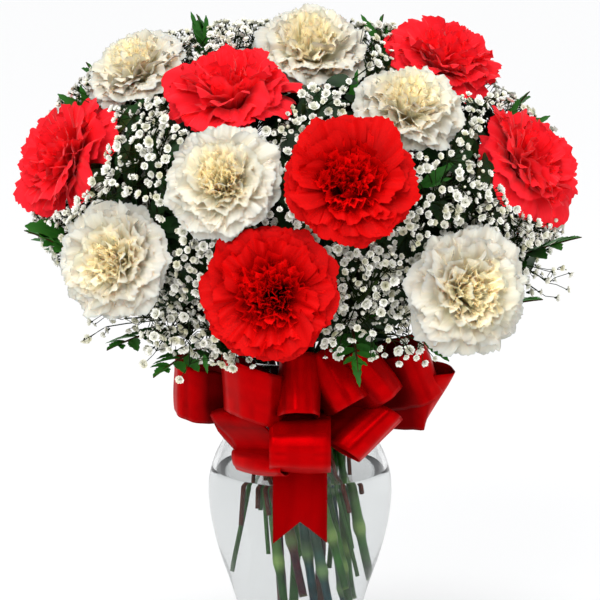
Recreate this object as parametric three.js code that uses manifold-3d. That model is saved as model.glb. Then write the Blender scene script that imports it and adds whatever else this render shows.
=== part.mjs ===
// A dozen carnations, six red and six white, with baby's breath and leatherleaf fern, standing in
// a clear glass vase of water that has a red satin bow at its neck.
// Millimetres, +Z up. The origin is the centre of the vase's flat base, and the bow faces -Y.
import * as THREE from "three";
import { mergeVertices } from "three/addons/utils/BufferGeometryUtils.js";
import Module from "manifold-3d";

const wasm = await Module();
wasm.setup();

// Driving dimensions of the vase and its water

const GAP = 0.3; // clearance between pieces that rest on each other

const VASE_HEIGHT = 230;
const GLASS = 3; // wall thickness
const BASE_GLASS = 11; // thickness of the solid glass at the bottom
const RIM_ROUND = 1.5; // radius of the fire-polished rim
const FOOT_EDGE = 1.5; // how far the foot's lower edge is rounded in
const WELL_EDGE = { out: 5, in: 1, up: 3 }; // the rounded corner at the bottom of the inside
const WELL_SIDE = 8; // the inside follows the wall from this far above its bottom
const VASE_SIDES = 20;
// Height and outer radius of the vase wall, from the foot to the rim.
const VASE_WALL = [
  [1.5, 34],
  [14, 32.5],
  [34, 32],
  [58, 34.5],
  [84, 41.5],
  [108, 49.5],
  [130, 54.5],
  [150, 55.5],
  [166, 51.5],
  [180, 44],
  [192, 38.5],
  [203, 37],
  [214, 39.5],
  [VASE_HEIGHT - RIM_ROUND, 47],
];
const WATER_TOP = 158;

// How the stems stand

const NECK_HEIGHT = 203; // where the stems are bunched
const NECK_SPREAD = 30.5; // radius of the bunch there
const FEET_HEIGHT = 100; // a lower level that the straight ends of the stems aim at
const FEET_SPREAD = 1.22; // how much wider the bunch is at that level
const TWIST = THREE.MathUtils.degToRad(52); // how far the spiralled stems turn between the two levels
const LEAN_MOST = 0.9; // a plant that leans this far (sine of its slant) stands at the bunch's edge
const STEM_GAP = 1.6; // between stems in the bunch
const NECK_ROUNDS = 400; // times that each two stems push each other apart
const FOOT_STEP = 2; // a stem's foot is tried at heights this far apart
const BEND = 0.3; // how far a stem's curve runs straight on at each end, as a share of its reach
const CLEAR_OF_RIM = 44; // how far a stem keeps its rise above the neck before it bends out
const CLEAR_OF_WALL = 3; // between the foot of a stem and the glass
const SPRAY_FEET = [112, 96, 134, 122]; // the lowest heights of the sprays' cut ends, in turn
const FERN_FEET = [136, 126, 142]; // and of the fronds'
const BENDS = 5; // straight pieces of a stem's curved upper stretch
const CARNATION_FEET = BASE_GLASS + 6; // the lowest height of the carnations' cut ends
const STRAIGHT_TOP = WATER_TOP + 8; // the stems run straight up to a little above the water

// The carnations

const CARNATION_STEM = 2.3; // radius
const CARNATION_JOINT = { radius: 3.4, above_foot: 34, below: 7, above: 6 }; // a swollen joint
const CARNATION_SIDES = 5;
const CALYX_LENGTH = 27;
// The calyx's radius at shares of its length.
const CALYX_PROFILE = [
  [0.14, 5],
  [0.8, 7],
  [1, 8],
];
const BLADE = 0.9; // thickness of petals and leaflets
// A bloom of radius 1, as a profile from the bottom of its axis to the top, in distance from the
// axis and height above the mouth of the calyx. A row with `petals` is the edge of a layer of that
// many petals, and `parting` is where two of them part, `skew` columns on from the first.
const BLOOM_COLUMNS = 20;
const BLOOM_PROFILE = [
  { at: [0.17, 0] },
  { at: [0.5, 0.38] },
  { at: [1, 0.2], petals: 5, parting: [0.7, 0.3], skew: 0, ruffle: 0.1, thick: [0, 1] },
  { at: [0.4, 0.48] },
  { at: [0.8, 0.65], petals: 5, parting: [0.56, 0.62], skew: 2, ruffle: 0.1, thick: [0, 1] },
  { at: [0.28, 0.68] },
  { at: [0.48, 0.96], petals: 4, parting: [0.36, 0.82], skew: 1, ruffle: 0.08, thick: [-1, 0] },
];
const BLOOM_HEART = 0.78; // height of the middle of the bloom's face
const BLOOM_MOUTH = 0.4; // how far behind a bloom's middle its calyx opens, as a share of its radius
const RUFFLE_RISE = 0.8; // how far a ruffle rises and falls, as a share of how far it cuts in
// Each carnation: where the middle of the bloom is, where it faces (azimuth from -Y towards +X, and
// elevation, in degrees) and its radius.
const CARNATIONS = {
  red_low: { at: [-16, -138, 289], faces: [-5, 14], radius: 38 },
  red_middle: { at: [27, -134, 350], faces: [6, 20], radius: 36 },
  red_top_left: { at: [-39, -72, 391], faces: [-16, 62], radius: 37 },
  red_top_right: { at: [85, -12, 405], faces: [36, 62], radius: 34 },
  red_left: { at: [-134, -42, 352], faces: [-61, 33], radius: 37 },
  red_right: { at: [130, -48, 349], faces: [54, 34], radius: 36 },
  white_middle: { at: [-42, -120, 347], faces: [-14, 26], radius: 33.5 },
  white_left: { at: [-102, -100, 301], faces: [-26, 14], radius: 34 },
  white_right: { at: [92, -112, 285], faces: [22, 6], radius: 37 },
  white_top: { at: [6, -8, 410], faces: [5, 54], radius: 34 },
  white_top_right: { at: [60, -84, 383], faces: [16, 54], radius: 32 },
  white_top_left: { at: [-94, -22, 399], faces: [-42, 54], radius: 31 },
};

// The baby's breath and the fern

const THIN_SIDES = 3;
const SPRAY_STEM = 1.2; // radius
const STALK = 0.75; // radius of the finest stalks of baby's breath
const TUFTS = [9, 6]; // radii of a large and a small tuft of its florets
const TUFT_CROWN = { on: 0.8, radius: 0.5 }; // a tuft's flat top, as shares of the tuft's radius
const DOME_PLACES = 900; // places for tufts, evenly over the whole dome
const DOME_STEP = 337; // they are taken in steps of this many, so that each next one is far away
const MOST_TUFTS = 6; // tufts on one spray, besides the one at its tip
const DOME_LOWEST = -0.72; // how far down the dome they go, as a share of its lower half
const DOME_DEPTH = [0.9, 1.02]; // the least and most depth of a tuft, as a share of the dome's surface
const DOME_CENTRE = new THREE.Vector3(0, -2, 322);
const DOME_HALF = { x: 156, y: 128, up: 102, down: 84 };
const DOME_SQUARENESS = 2.5; // 2 is an ellipsoid, and more is boxier
const STALK_STARTS = [0.5, 0.65, 0.8, 0.95]; // where stalks leave a spray's own stem
const SPRAY_REACH = 74; // how far from the tip of its spray a tuft can be
const TUFT_CLEAR = { of_pieces: 0.8, of_tufts: 1 }; // how far a tuft keeps from what is round it
const STALK_CLEAR = { of_pieces: 1.2, of_stalks: 3 };
const STEM_ROOM = 0.5; // more room round the stems of the carnations and the fronds
const FLORET_SEED = 7; // of the random depths of the tufts
// The tip of each spray of baby's breath.
const SPRAYS = [
  [-92, -84, 366],
  [-52, -22, 425],
  [2, -98, 388],
  [46, -26, 424],
  [80, -102, 345],
  [42, -124, 293],
  [-76, -98, 279],
  [134, -70, 306],
  [-146, -4, 374],
  [140, 20, 368],
  [-92, 62, 366],
  [-4, 62, 404],
  [88, 66, 368],
  [-62, 108, 296],
  [58, 110, 300],
];

const FERN_STEM = 1.3; // radius
const FROND_LOBES = 5; // on each side
const FROND_ROOT = 3; // how far a blade's rib overlaps the end of its stem
const FROND_ARCH = 0.1; // how high the middle of a rib is arched, as a share of its length
const RIB_HALF = 1.6; // half the width of the blade where it is cut in to the rib
// Half the blade's width follows a sine from the first of these turns to the last, in half turns.
const FROND_OUTLINE = [0.25, 0.97];
const LOBE_SLANT = { along: 0.55, down: 0.15 }; // how far a lobe's tip leans, as shares of its reach

// The base and tip of each frond of fern, and half its width as a share of its length.
const FRONDS = [
  { base: [-84, -28, 262], tip: [-158, -60, 312], width: 0.38 },
  { base: [-66, -34, 250], tip: [-110, -80, 246], width: 0.34 },
  { base: [-44, -58, 247], tip: [-82, -108, 236], width: 0.3 },
  { base: [29, -84, 262], tip: [32, -130, 244], width: 0.3 },
  { base: [88, -21, 268], tip: [163, -46, 306], width: 0.38 },
  { base: [74, -42, 248], tip: [138, -78, 275], width: 0.36 },
  { base: [-94, 34, 322], tip: [-130, 44, 400], width: 0.4 },
  { base: [-36, 26, 350], tip: [-62, 28, 430], width: 0.4 },
  { base: [38, 24, 350], tip: [50, 28, 430], width: 0.38 },
  { base: [92, 34, 314], tip: [138, 24, 384], width: 0.4 },
  { base: [-72, 44, 258], tip: [-136, 86, 268], width: 0.42 },
  { base: [-16, 66, 262], tip: [-22, 146, 276], width: 0.42 },
  { base: [64, 50, 258], tip: [122, 98, 268], width: 0.42 },
  { base: [34, 62, 318], tip: [52, 122, 366], width: 0.42 },
];

// The bow

const RIBBON_WIDTH = 35;
const RIBBON = 0.8; // thickness of the doubled satin
const TIE = { low: 204, high: 213 }; // heights of the ribbon round the vase's neck
const KNOT_HALF = new THREE.Vector3(11, 8.5, 11);
const KNOT_HEIGHT = 210;
const PINCH = 0.3; // the ribbon's width where it is gathered, as a share of its full width
const LOOP_START = { on: 5, aside: 1 }; // where a loop's two sides start, off the middle of the knot
const LOOP_MIDDLE = { on: 0.5, share: 0.82 }; // how wide it has spread half way along its sides
const LOOP_ROUND = 5; // points round a loop's far end
// Each loop: where its far end is, which way its ribbon's width runs (and, in a twisted loop, which
// way it runs at the far end), how wide the loop opens, how far its middle bulges aside, and whether
// the width is turned square to the way that the loop runs.
const LOOPS = [
  { end: [-73, -62, 223], width: [0, -0.3, 1], opening: 26, square: false },
  { end: [-38, -98, 228], width: [0, -0.3, 1], opening: 38, square: false },
  { end: [0, -101, 232], width: [0, -0.3, 1], opening: 25 },
  { end: [25, -95, 236], width: [-0.16, -0.3, 1], opening: 22 },
  { end: [47, -86, 238], width: [-0.35, -0.3, 1], opening: 23 },
  { end: [77, -70, 235], width: [-0.45, -0.3, 1], opening: 24 },
  { end: [82, -60, 216], width: [-0.2, -0.2, 1], tip: [0.42, -0.3, 0.86], opening: 22 },
  {
    end: [-25, -82, 176],
    width: [0.9, -0.4, 0],
    tip: [0.75, -0.6, 0],
    opening: 16,
    bulge: [-22, -13, 12],
    square: false,
  },
  { end: [0, -99, 185], width: [1, 0, 0], opening: 32 },
  { end: [46, -86, 196], width: [0.7, 0.1, 0.66], opening: 20, square: false },
];
// The tail: down its middle from the knot, and how deep its end is notched.
const TAIL = [
  [0, -57, 206],
  [0, -68, 182],
  [0, -72, 155],
  [0, -71, 130],
];
const TAIL_NOTCH = 13;
const TAIL_WIDTH = 0.9; // as a share of the ribbon's width, because the tail hangs a little turned

const UP = new THREE.Vector3(0, 0, 1);
const vector = ([x, y, z]) => new THREE.Vector3(x, y, z);
const radians = THREE.MathUtils.degToRad;

// The unit vector that points to an azimuth and elevation.
function direction([azimuth, elevation]) {
  const [a, e] = [radians(azimuth), radians(elevation)];
  return new THREE.Vector3(Math.sin(a) * Math.cos(e), -Math.cos(a) * Math.cos(e), Math.sin(e));
}

// A repeatable source of numbers from 0 to 1.
function seeded(seed) {
  let state = seed >>> 0;
  return () => {
    state = (Math.imul(state, 1664525) + 1013904223) >>> 0;
    return state / 2 ** 32;
  };
}

// Solids

function geometryOf(points, faces) {
  const geometry = new THREE.BufferGeometry().setFromPoints(points);
  return geometry.setIndex(faces.flat());
}

function solidOf(geometry) {
  const bare = geometry.clone();
  bare.deleteAttribute("normal");
  bare.deleteAttribute("uv");
  const merged = mergeVertices(bare, 1e-3);
  const vertProperties = merged.attributes.position.array;
  const triVerts = new Uint32Array(merged.index.array);
  return new wasm.Manifold(new wasm.Mesh({ numProp: 3, vertProperties, triVerts }));
}

function geometryOfSolid(solid) {
  const mesh = solid.getMesh();
  const geometry = new THREE.BufferGeometry();
  geometry.setAttribute("position", new THREE.BufferAttribute(new Float32Array(mesh.vertProperties), 3));
  return geometry.setIndex(new THREE.BufferAttribute(new Uint32Array(mesh.triVerts), 1));
}

// Joins overlapping solids, and drops any piece that doesn't reach the largest body.
function fuse(solids) {
  const bodies = wasm.Manifold.union(solids).decompose();
  return bodies.reduce((a, b) => (b.volume() > a.volume() ? b : a));
}

// A closed tube of polygonal rings. Each station is { at, radius }.
function tube(stations, sides) {
  const path = stations.map((s) => s.at);
  const points = [];
  const faces = [];
  let across = new THREE.Vector3(1, 0, 0);
  stations.forEach((station, k) => {
    const along = path[Math.min(k + 1, path.length - 1)].clone().sub(path[Math.max(k - 1, 0)]).normalize();
    across = across.clone().addScaledVector(along, -across.dot(along)).normalize();
    const beside = along.clone().cross(across);
    for (let i = 0; i < sides; i++) {
      const turn = (i / sides) * 2 * Math.PI;
      points.push(
        station.at
          .clone()
          .addScaledVector(across, station.radius * Math.cos(turn))
          .addScaledVector(beside, station.radius * Math.sin(turn)),
      );
    }
  });
  for (let k = 0; k + 1 < stations.length; k++)
    for (let i = 0; i < sides; i++) {
      const [a, b] = [k * sides + i, k * sides + ((i + 1) % sides)];
      faces.push([a, b, b + sides], [a, b + sides, a + sides]);
    }
  const last = (stations.length - 1) * sides;
  for (let i = 1; i + 1 < sides; i++) faces.push([0, i + 1, i], [last, last + i, last + i + 1]);
  return solidOf(geometryOf(points, faces));
}

// A thin blade. `top` lists its upper points, `faces` the upper triangles, counterclockwise, and
// `rim` the points of its outline, counterclockwise. The lower face is the same, lower by `down`.
function blade(top, faces, rim, down) {
  const count = top.length;
  const points = [...top, ...top.map((p) => p.clone().add(down))];
  const all = [...faces, ...faces.map(([a, b, c]) => [a + count, c + count, b + count])];
  rim.forEach((a, i) => {
    const b = rim[(i + 1) % rim.length];
    all.push([a, a + count, b], [b, a + count, b + count]);
  });
  return solidOf(geometryOf(points, all));
}

// The vase and its water

function wallRadius(height) {
  const i = VASE_WALL.findIndex(([z]) => z >= height);
  const [[z0, r0], [z1, r1]] = [VASE_WALL[Math.max(i - 1, 0)], VASE_WALL[Math.max(i, 1)]];
  return r0 + ((r1 - r0) * (height - z0)) / (z1 - z0);
}

// The inside of the vase up to a height, from its axis out and up, `inset` off the glass.
function insideProfile(top, inset) {
  const bottom = BASE_GLASS + inset;
  const well = wallRadius(BASE_GLASS) - GLASS - inset;
  const side = VASE_WALL.filter(([z]) => z > BASE_GLASS + WELL_SIDE && z < top);
  return [
    [bottom, 0],
    [bottom, well - WELL_EDGE.out],
    [bottom + WELL_EDGE.up, well - WELL_EDGE.in],
    ...side.map(([z, r]) => [z, r - GLASS - inset]),
    [top, wallRadius(top) - GLASS - inset],
  ];
}

function vaseProfile() {
  return [
    [0, 0],
    [0, VASE_WALL[0][1] - FOOT_EDGE],
    ...VASE_WALL,
    [VASE_HEIGHT, VASE_WALL.at(-1)[1] - RIM_ROUND],
    ...insideProfile(VASE_HEIGHT - RIM_ROUND, 0).reverse(),
  ];
}

// Turns a profile of heights and radii about +Z. LatheGeometry turns about +Y, so it is tipped up.
function turned(profile, sides) {
  const points = profile.map(([z, r]) => new THREE.Vector2(r, z));
  return new THREE.LatheGeometry(points, sides).rotateX(Math.PI / 2);
}

function waterSolid(stemSolids) {
  const profile = [...insideProfile(WATER_TOP, GAP), [WATER_TOP, 0]];
  return solidOf(turned(profile, VASE_SIDES)).subtract(wasm.Manifold.union(stemSolids));
}

// How the stems run

// Sets stems of the given radii side by side in the neck, each on the side that its head is on.
function neckPlaces(stems) {
  const places = stems.map(({ head }) => {
    const across = Math.hypot(head.x, head.y);
    const lean = across / Math.hypot(across, head.z - NECK_HEIGHT);
    const spread = Math.min(1, lean / LEAN_MOST) * NECK_SPREAD;
    const turn = Math.atan2(head.y, head.x);
    return new THREE.Vector2(spread * Math.cos(turn), spread * Math.sin(turn));
  });
  for (let round = 0; round < NECK_ROUNDS; round++)
    for (let i = 0; i < stems.length; i++)
      for (let j = i + 1; j < stems.length; j++) {
        const apart = places[j].clone().sub(places[i]);
        const need = stems[i].radius + stems[j].radius + STEM_GAP;
        const push = Math.max(0, need - apart.length()) / 2;
        if (push === 0) continue;
        apart.setLength(push);
        places[i].sub(apart).clampLength(0, NECK_SPREAD);
        places[j].add(apart).clampLength(0, NECK_SPREAD);
      }
  return places;
}

// The point of a stem's straight lower end at a height. All the stems follow one twisted bundle
// of lines, so no two of them meet.
function bundlePoint(place, height) {
  const share = (NECK_HEIGHT - height) / (NECK_HEIGHT - FEET_HEIGHT);
  const turned = place.clone().rotateAround(new THREE.Vector2(), TWIST).multiplyScalar(FEET_SPREAD);
  const p = place.clone().lerp(turned, share);
  return new THREE.Vector3(p.x, p.y, height);
}

// How low a stem reaches: to its own length, or less far where it meets the vase's wall.
function footHeight({ place, radius, lowest }) {
  let height = STRAIGHT_TOP - GAP;
  while (height > lowest) {
    const next = bundlePoint(place, height - FOOT_STEP);
    if (Math.hypot(next.x, next.y) + radius > wallRadius(next.z) - GLASS - CLEAR_OF_WALL) break;
    height -= FOOT_STEP;
  }
  return height;
}

// The upper stretch of a stem, from the neck to its head, as points along one smooth curve.
function upperPath(place, head, facing, count) {
  const neck = bundlePoint(place, NECK_HEIGHT);
  const rise = neck.clone().sub(bundlePoint(place, FEET_HEIGHT)).normalize();
  const reach = head.distanceTo(neck);
  const curve = new THREE.CubicBezierCurve3(
    neck,
    neck.clone().addScaledVector(rise, Math.max(reach * BEND, CLEAR_OF_RIM)),
    head.clone().addScaledVector(facing, -reach * BEND),
    head,
  );
  return curve.getPoints(count);
}

// Carnations

// One closed body of layered petals. Its own frame has its axis along +Z and the mouth of the
// calyx at 0.
function bloomSolid(radius, random) {
  const points = [new THREE.Vector3()];
  const rows = [];
  const ring = (spots) => {
    rows.push(points.length);
    spots.forEach(([distance, height], column) => {
      const turn = (column / BLOOM_COLUMNS) * 2 * Math.PI;
      points.push(new THREE.Vector3(distance * Math.cos(turn), distance * Math.sin(turn), height));
    });
  };
  const columns = Array.from({ length: BLOOM_COLUMNS }, (_, column) => column);
  for (const { at, petals, parting, skew, ruffle, thick } of BLOOM_PROFILE) {
    if (!petals) {
      ring(columns.map(() => at.map((size) => size * radius)));
      continue;
    }
    const span = BLOOM_COLUMNS / petals;
    const edge = columns.map((column) => {
      if (column % span === skew) return parting.map((size) => size * radius);
      const tooth = [-random() * ruffle, (2 * random() - 1) * RUFFLE_RISE * ruffle];
      return at.map((size, i) => (size + tooth[i]) * radius);
    });
    ring(edge.map((spot) => spot.map((size, i) => size - (thick[i] * BLADE) / 2)));
    ring(edge.map((spot) => spot.map((size, i) => size + (thick[i] * BLADE) / 2)));
  }
  const top = points.push(new THREE.Vector3(0, 0, BLOOM_HEART * radius)) - 1;
  const faces = [];
  for (const column of columns) {
    const beside = (column + 1) % BLOOM_COLUMNS;
    const last = rows.at(-1);
    faces.push([0, rows[0] + beside, rows[0] + column], [last + column, last + beside, top]);
    rows.slice(1).forEach((row, k) => {
      const [a, b, c, d] = [rows[k] + column, rows[k] + beside, row + beside, row + column];
      faces.push([a, b, c], [a, c, d]);
    });
  }
  return solidOf(geometryOf(points, faces));
}

// The stem, with a swollen joint under water and the calyx at its top, which ends flat under the
// bloom. `loose` widens its wet stretch all round, for the hole that it stands in.
function carnationStem(plant, loose = 0) {
  const low = footHeight(plant) - loose;
  const joint = Math.min(low + CARNATION_JOINT.above_foot, WATER_TOP - 2 * CARNATION_JOINT.above);
  const stations = [
    [low, CARNATION_STEM],
    [joint - CARNATION_JOINT.below, CARNATION_STEM],
    [joint, CARNATION_JOINT.radius],
    [joint + CARNATION_JOINT.above, CARNATION_STEM],
    [STRAIGHT_TOP, CARNATION_STEM],
  ].map(([z, radius]) => ({ at: bundlePoint(plant.place, z), radius: radius + loose }));
  if (loose) return tube(stations, CARNATION_SIDES);
  const path = upperPath(plant.place, plant.head, plant.facing, BENDS);
  stations.push(...path.map((at) => ({ at, radius: CARNATION_STEM })));
  for (const [share, radius] of CALYX_PROFILE)
    stations.push({ at: plant.head.clone().addScaledVector(plant.facing, CALYX_LENGTH * share), radius });
  return tube(stations, CARNATION_SIDES);
}

// The stem of a spray or a frond, or with `loose` the hole for its wet stretch.
function thinStem(plant, loose = 0) {
  const low = footHeight(plant) - loose;
  const stations = [low, STRAIGHT_TOP].map((z) => ({
    at: bundlePoint(plant.place, z),
    radius: plant.radius + loose,
  }));
  if (loose) return tube(stations, THIN_SIDES);
  const path = upperPath(plant.place, plant.head, plant.facing, BENDS);
  stations.push(...path.map((at) => ({ at, radius: plant.radius })));
  return tube(stations, THIN_SIDES);
}

// Baby's breath

// Places spread evenly over the dome, from a little under its widest level up to its top.
function domePlaces(random) {
  const golden = Math.PI * (3 - Math.sqrt(5)); // the turn from each place to the next
  return Array.from({ length: DOME_PLACES }, (_, order) => {
    const i = (order * DOME_STEP) % DOME_PLACES;
    const z = 1 - ((i + 0.5) * (1 - DOME_LOWEST)) / DOME_PLACES;
    const ring = Math.sqrt(1 - z * z);
    const way = new THREE.Vector3(ring * Math.cos(i * golden), ring * Math.sin(i * golden), z);
    const half = new THREE.Vector3(DOME_HALF.x, DOME_HALF.y, z > 0 ? DOME_HALF.up : DOME_HALF.down);
    const total = way.toArray().reduce((sum, c) => sum + Math.abs(c) ** DOME_SQUARENESS, 0);
    const depth = THREE.MathUtils.lerp(...DOME_DEPTH, random()) / total ** (1 / DOME_SQUARENESS);
    return way.multiply(half).multiplyScalar(depth).add(DOME_CENTRE);
  });
}

// How near a straight stalk comes to a ball, less the ball's radius.
function clearance(from, to, ball) {
  const stalk = new THREE.Line3(from, to);
  return stalk.closestPointToPoint(ball.at, true, new THREE.Vector3()).distanceTo(ball.at) - ball.radius;
}

// Balls that together cover a bloom and its calyx: one in the middle, a ring of them under its outer
// petals, and two down the calyx. Lengths of a bloom's own are shares of its radius.
const MIDDLE_BALL = { up: 0.5, radius: 0.62 };
const PETAL_BALLS = { count: 12, out: 0.74, up: 0.32, radius: 0.36 };
const CALYX_BALLS = { down: [8, 20], radius: 9 };

function bloomBalls({ mouth, facing, bloomRadius }) {
  const side = new THREE.Vector3(1, 0, 0).cross(facing).normalize();
  const other = facing.clone().cross(side);
  const up = (distance) => mouth.clone().addScaledVector(facing, distance);
  const balls = [{ at: up(bloomRadius * MIDDLE_BALL.up), radius: bloomRadius * MIDDLE_BALL.radius }];
  for (const down of CALYX_BALLS.down) balls.push({ at: up(-down), radius: CALYX_BALLS.radius });
  for (let i = 0; i < PETAL_BALLS.count; i++) {
    const turn = (i / PETAL_BALLS.count) * 2 * Math.PI;
    const at = up(bloomRadius * PETAL_BALLS.up)
      .addScaledVector(side, bloomRadius * PETAL_BALLS.out * Math.cos(turn))
      .addScaledVector(other, bloomRadius * PETAL_BALLS.out * Math.sin(turn));
    balls.push({ at, radius: bloomRadius * PETAL_BALLS.radius });
  }
  return balls;
}

const PATH_POINTS = 30; // points at which a stem's path is tested against its neighbours

// Balls along the upper stretch of a plant's stem, with some room round it.
function stemBalls({ place, head, facing, radius }, room, owner) {
  return upperPath(place, head, facing, PATH_POINTS).map((at) => ({ at, radius: radius + room, owner }));
}

// Gives each place on the dome that is clear of everything else to the nearest spray, with the
// point of that spray's stem where its stalk starts, and the largest tuft that fits there.
function shareFlorets(sprays, obstacles, random) {
  const paths = sprays.map((spray) => upperPath(spray.place, spray.head, spray.facing, PATH_POINTS));
  const tufts = sprays.map((spray) => [{ at: spray.head, start: spray.head, size: TUFTS[1] }]);
  for (const at of domePlaces(random)) {
    const distances = sprays.map((spray) => spray.head.distanceTo(at));
    const nearest = distances.indexOf(Math.min(...distances));
    if (distances[nearest] > SPRAY_REACH || tufts[nearest].length > MOST_TUFTS) continue;
    const others = obstacles.filter((ball) => ball.owner !== nearest);
    const starts = STALK_STARTS.map((share) => paths[nearest][Math.round(share * PATH_POINTS)]);
    const start = starts.find((from) =>
      others.every((ball) => clearance(from, at, ball) > STALK + STALK_CLEAR.of_pieces),
    );
    const size = TUFTS.find(
      (radius) =>
        others.every((ball) => ball.at.distanceTo(at) > ball.radius + radius + TUFT_CLEAR.of_pieces) &&
        tufts.flat().every((tuft) => tuft.at.distanceTo(at) > tuft.size + radius + TUFT_CLEAR.of_tufts),
    );
    if (!start || !size) continue;
    const near = (tuft) => segmentGap(tuft.start, tuft.at, start, at) < STALK_CLEAR.of_stalks;
    const crossed = tufts.some((own, i) => i !== nearest && own.some(near));
    if (!crossed) tufts[nearest].push({ at, start, size });
  }
  return tufts.map((own) => own.slice(1));
}

// The distance between two straight stalks, tested at points along one of them.
function segmentGap(a, b, c, d) {
  let least = Infinity;
  for (let i = 0; i <= PATH_POINTS; i++)
    least = Math.min(least, clearance(c, d, { at: a.clone().lerp(b, i / PATH_POINTS), radius: 0 }));
  return least;
}

// A stalk that opens into a tuft of florets at its end.
function tuftSolid({ start, at, size }) {
  const along = at.clone().sub(start).normalize();
  const stations = [
    [-at.distanceTo(start), STALK],
    [-size, STALK],
    [0, size],
    [size * TUFT_CROWN.on, size * TUFT_CROWN.radius],
  ].map(([on, radius]) => ({ at: at.clone().addScaledVector(along, on), radius }));
  return tube(stations, THIN_SIDES);
}

function spraySolid(spray, tufts) {
  const start = spray.head.clone().addScaledVector(spray.facing, -TUFTS[1] * 2);
  const tip = { start, at: spray.head, size: TUFTS[1] };
  return fuse([thinStem(spray), ...[tip, ...tufts].map(tuftSolid)]);
}

// Leatherleaf fern

// The blade of a frond: an arched triangle of leaflets, cut in to the rib.
function frondBlade({ head, tip, facing, width }) {
  const length = head.distanceTo(tip);
  const rib = new THREE.QuadraticBezierCurve3(
    head.clone().addScaledVector(facing, -FROND_ROOT).addScaledVector(UP, BLADE / 2),
    head.clone().lerp(tip, 0.5).addScaledVector(UP, length * FROND_ARCH),
    tip,
  );
  const side = UP.clone().cross(facing).normalize();
  const top = [];
  const faces = [];
  const lobes = [];
  const edges = { left: [], right: [] };
  const put = (point) => top.push(point) - 1;
  const ribPoints = rib.getPoints(FROND_LOBES);
  const along = tip.clone().sub(head).normalize();
  const ids = ribPoints.map((p) => put(p));
  for (const [name, sign] of [["left", 1], ["right", -1]]) {
    const notches = ribPoints.map((p, k) =>
      k === FROND_LOBES ? ids[k] : put(p.clone().addScaledVector(side, sign * RIB_HALF)),
    );
    for (let k = 0; k < FROND_LOBES; k++) {
      const turn = THREE.MathUtils.lerp(...FROND_OUTLINE, (k + 0.5) / FROND_LOBES);
      const reach = length * width * Math.sin(Math.PI * turn);
      const lobe = put(
        ribPoints[k]
          .clone()
          .lerp(ribPoints[k + 1], 0.5)
          .addScaledVector(side, sign * reach)
          .addScaledVector(along, reach * LOBE_SLANT.along)
          .addScaledVector(UP, -reach * LOBE_SLANT.down),
      );
      const ordered = (a, b, c) => faces.push(sign > 0 ? [a, b, c] : [a, c, b]);
      ordered(notches[k], ids[k + 1], lobe);
      ordered(notches[k], ids[k], ids[k + 1]);
      if (k + 1 < FROND_LOBES) ordered(ids[k + 1], notches[k + 1], lobe);
      edges[name].push(notches[k], lobe);
      lobes.push({ from: ribPoints[k], to: top[lobe] });
    }
  }
  const rim = [ids[0], ...edges.right, ids[FROND_LOBES], ...edges.left.reverse()];
  const down = side.clone().cross(along).setLength(BLADE);
  return { top, faces, rim, down, lobes };
}

// Small balls over the whole of a frond's blade, from each point of its rib out to its lobes' tips.
const LOBE_BALLS = { out: [0, 0.35, 0.7, 1], radius: 5 };

function frondBalls(frond) {
  const { lobes } = frondBlade(frond);
  const spots = lobes.flatMap(({ from, to }) => LOBE_BALLS.out.map((share) => from.clone().lerp(to, share)));
  return [...spots, frond.tip].map((at) => ({ at, radius: LOBE_BALLS.radius }));
}

function frondSolid(frond) {
  const { top, faces, rim, down } = frondBlade(frond);
  return fuse([thinStem(frond), blade(top, faces, rim, down)]);
}

// The bow

const KNOT = new THREE.Vector3(0, -(wallRadius(TIE.high) + GAP + RIBBON + KNOT_HALF.y), KNOT_HEIGHT);

// An endless band of ribbon through stations of { at, across, off }, where `across` runs over its
// width and `off` is the unit vector through its thickness.
function band(stations) {
  const points = [];
  const faces = [];
  for (const { at, across, off } of stations)
    for (const [w, t] of [[-0.5, -0.5], [0.5, -0.5], [0.5, 0.5], [-0.5, 0.5]])
      points.push(at.clone().addScaledVector(across, w).addScaledVector(off, t * RIBBON));
  for (let k = 0; k < stations.length; k++)
    for (let i = 0; i < 4; i++) {
      const next = (k + 1) % stations.length;
      const [a, b] = [k * 4 + i, k * 4 + ((i + 1) % 4)];
      const [d, c] = [next * 4 + i, next * 4 + ((i + 1) % 4)];
      faces.push([a, b, c], [a, c, d]);
    }
  return solidOf(geometryOf(points, faces));
}

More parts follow.
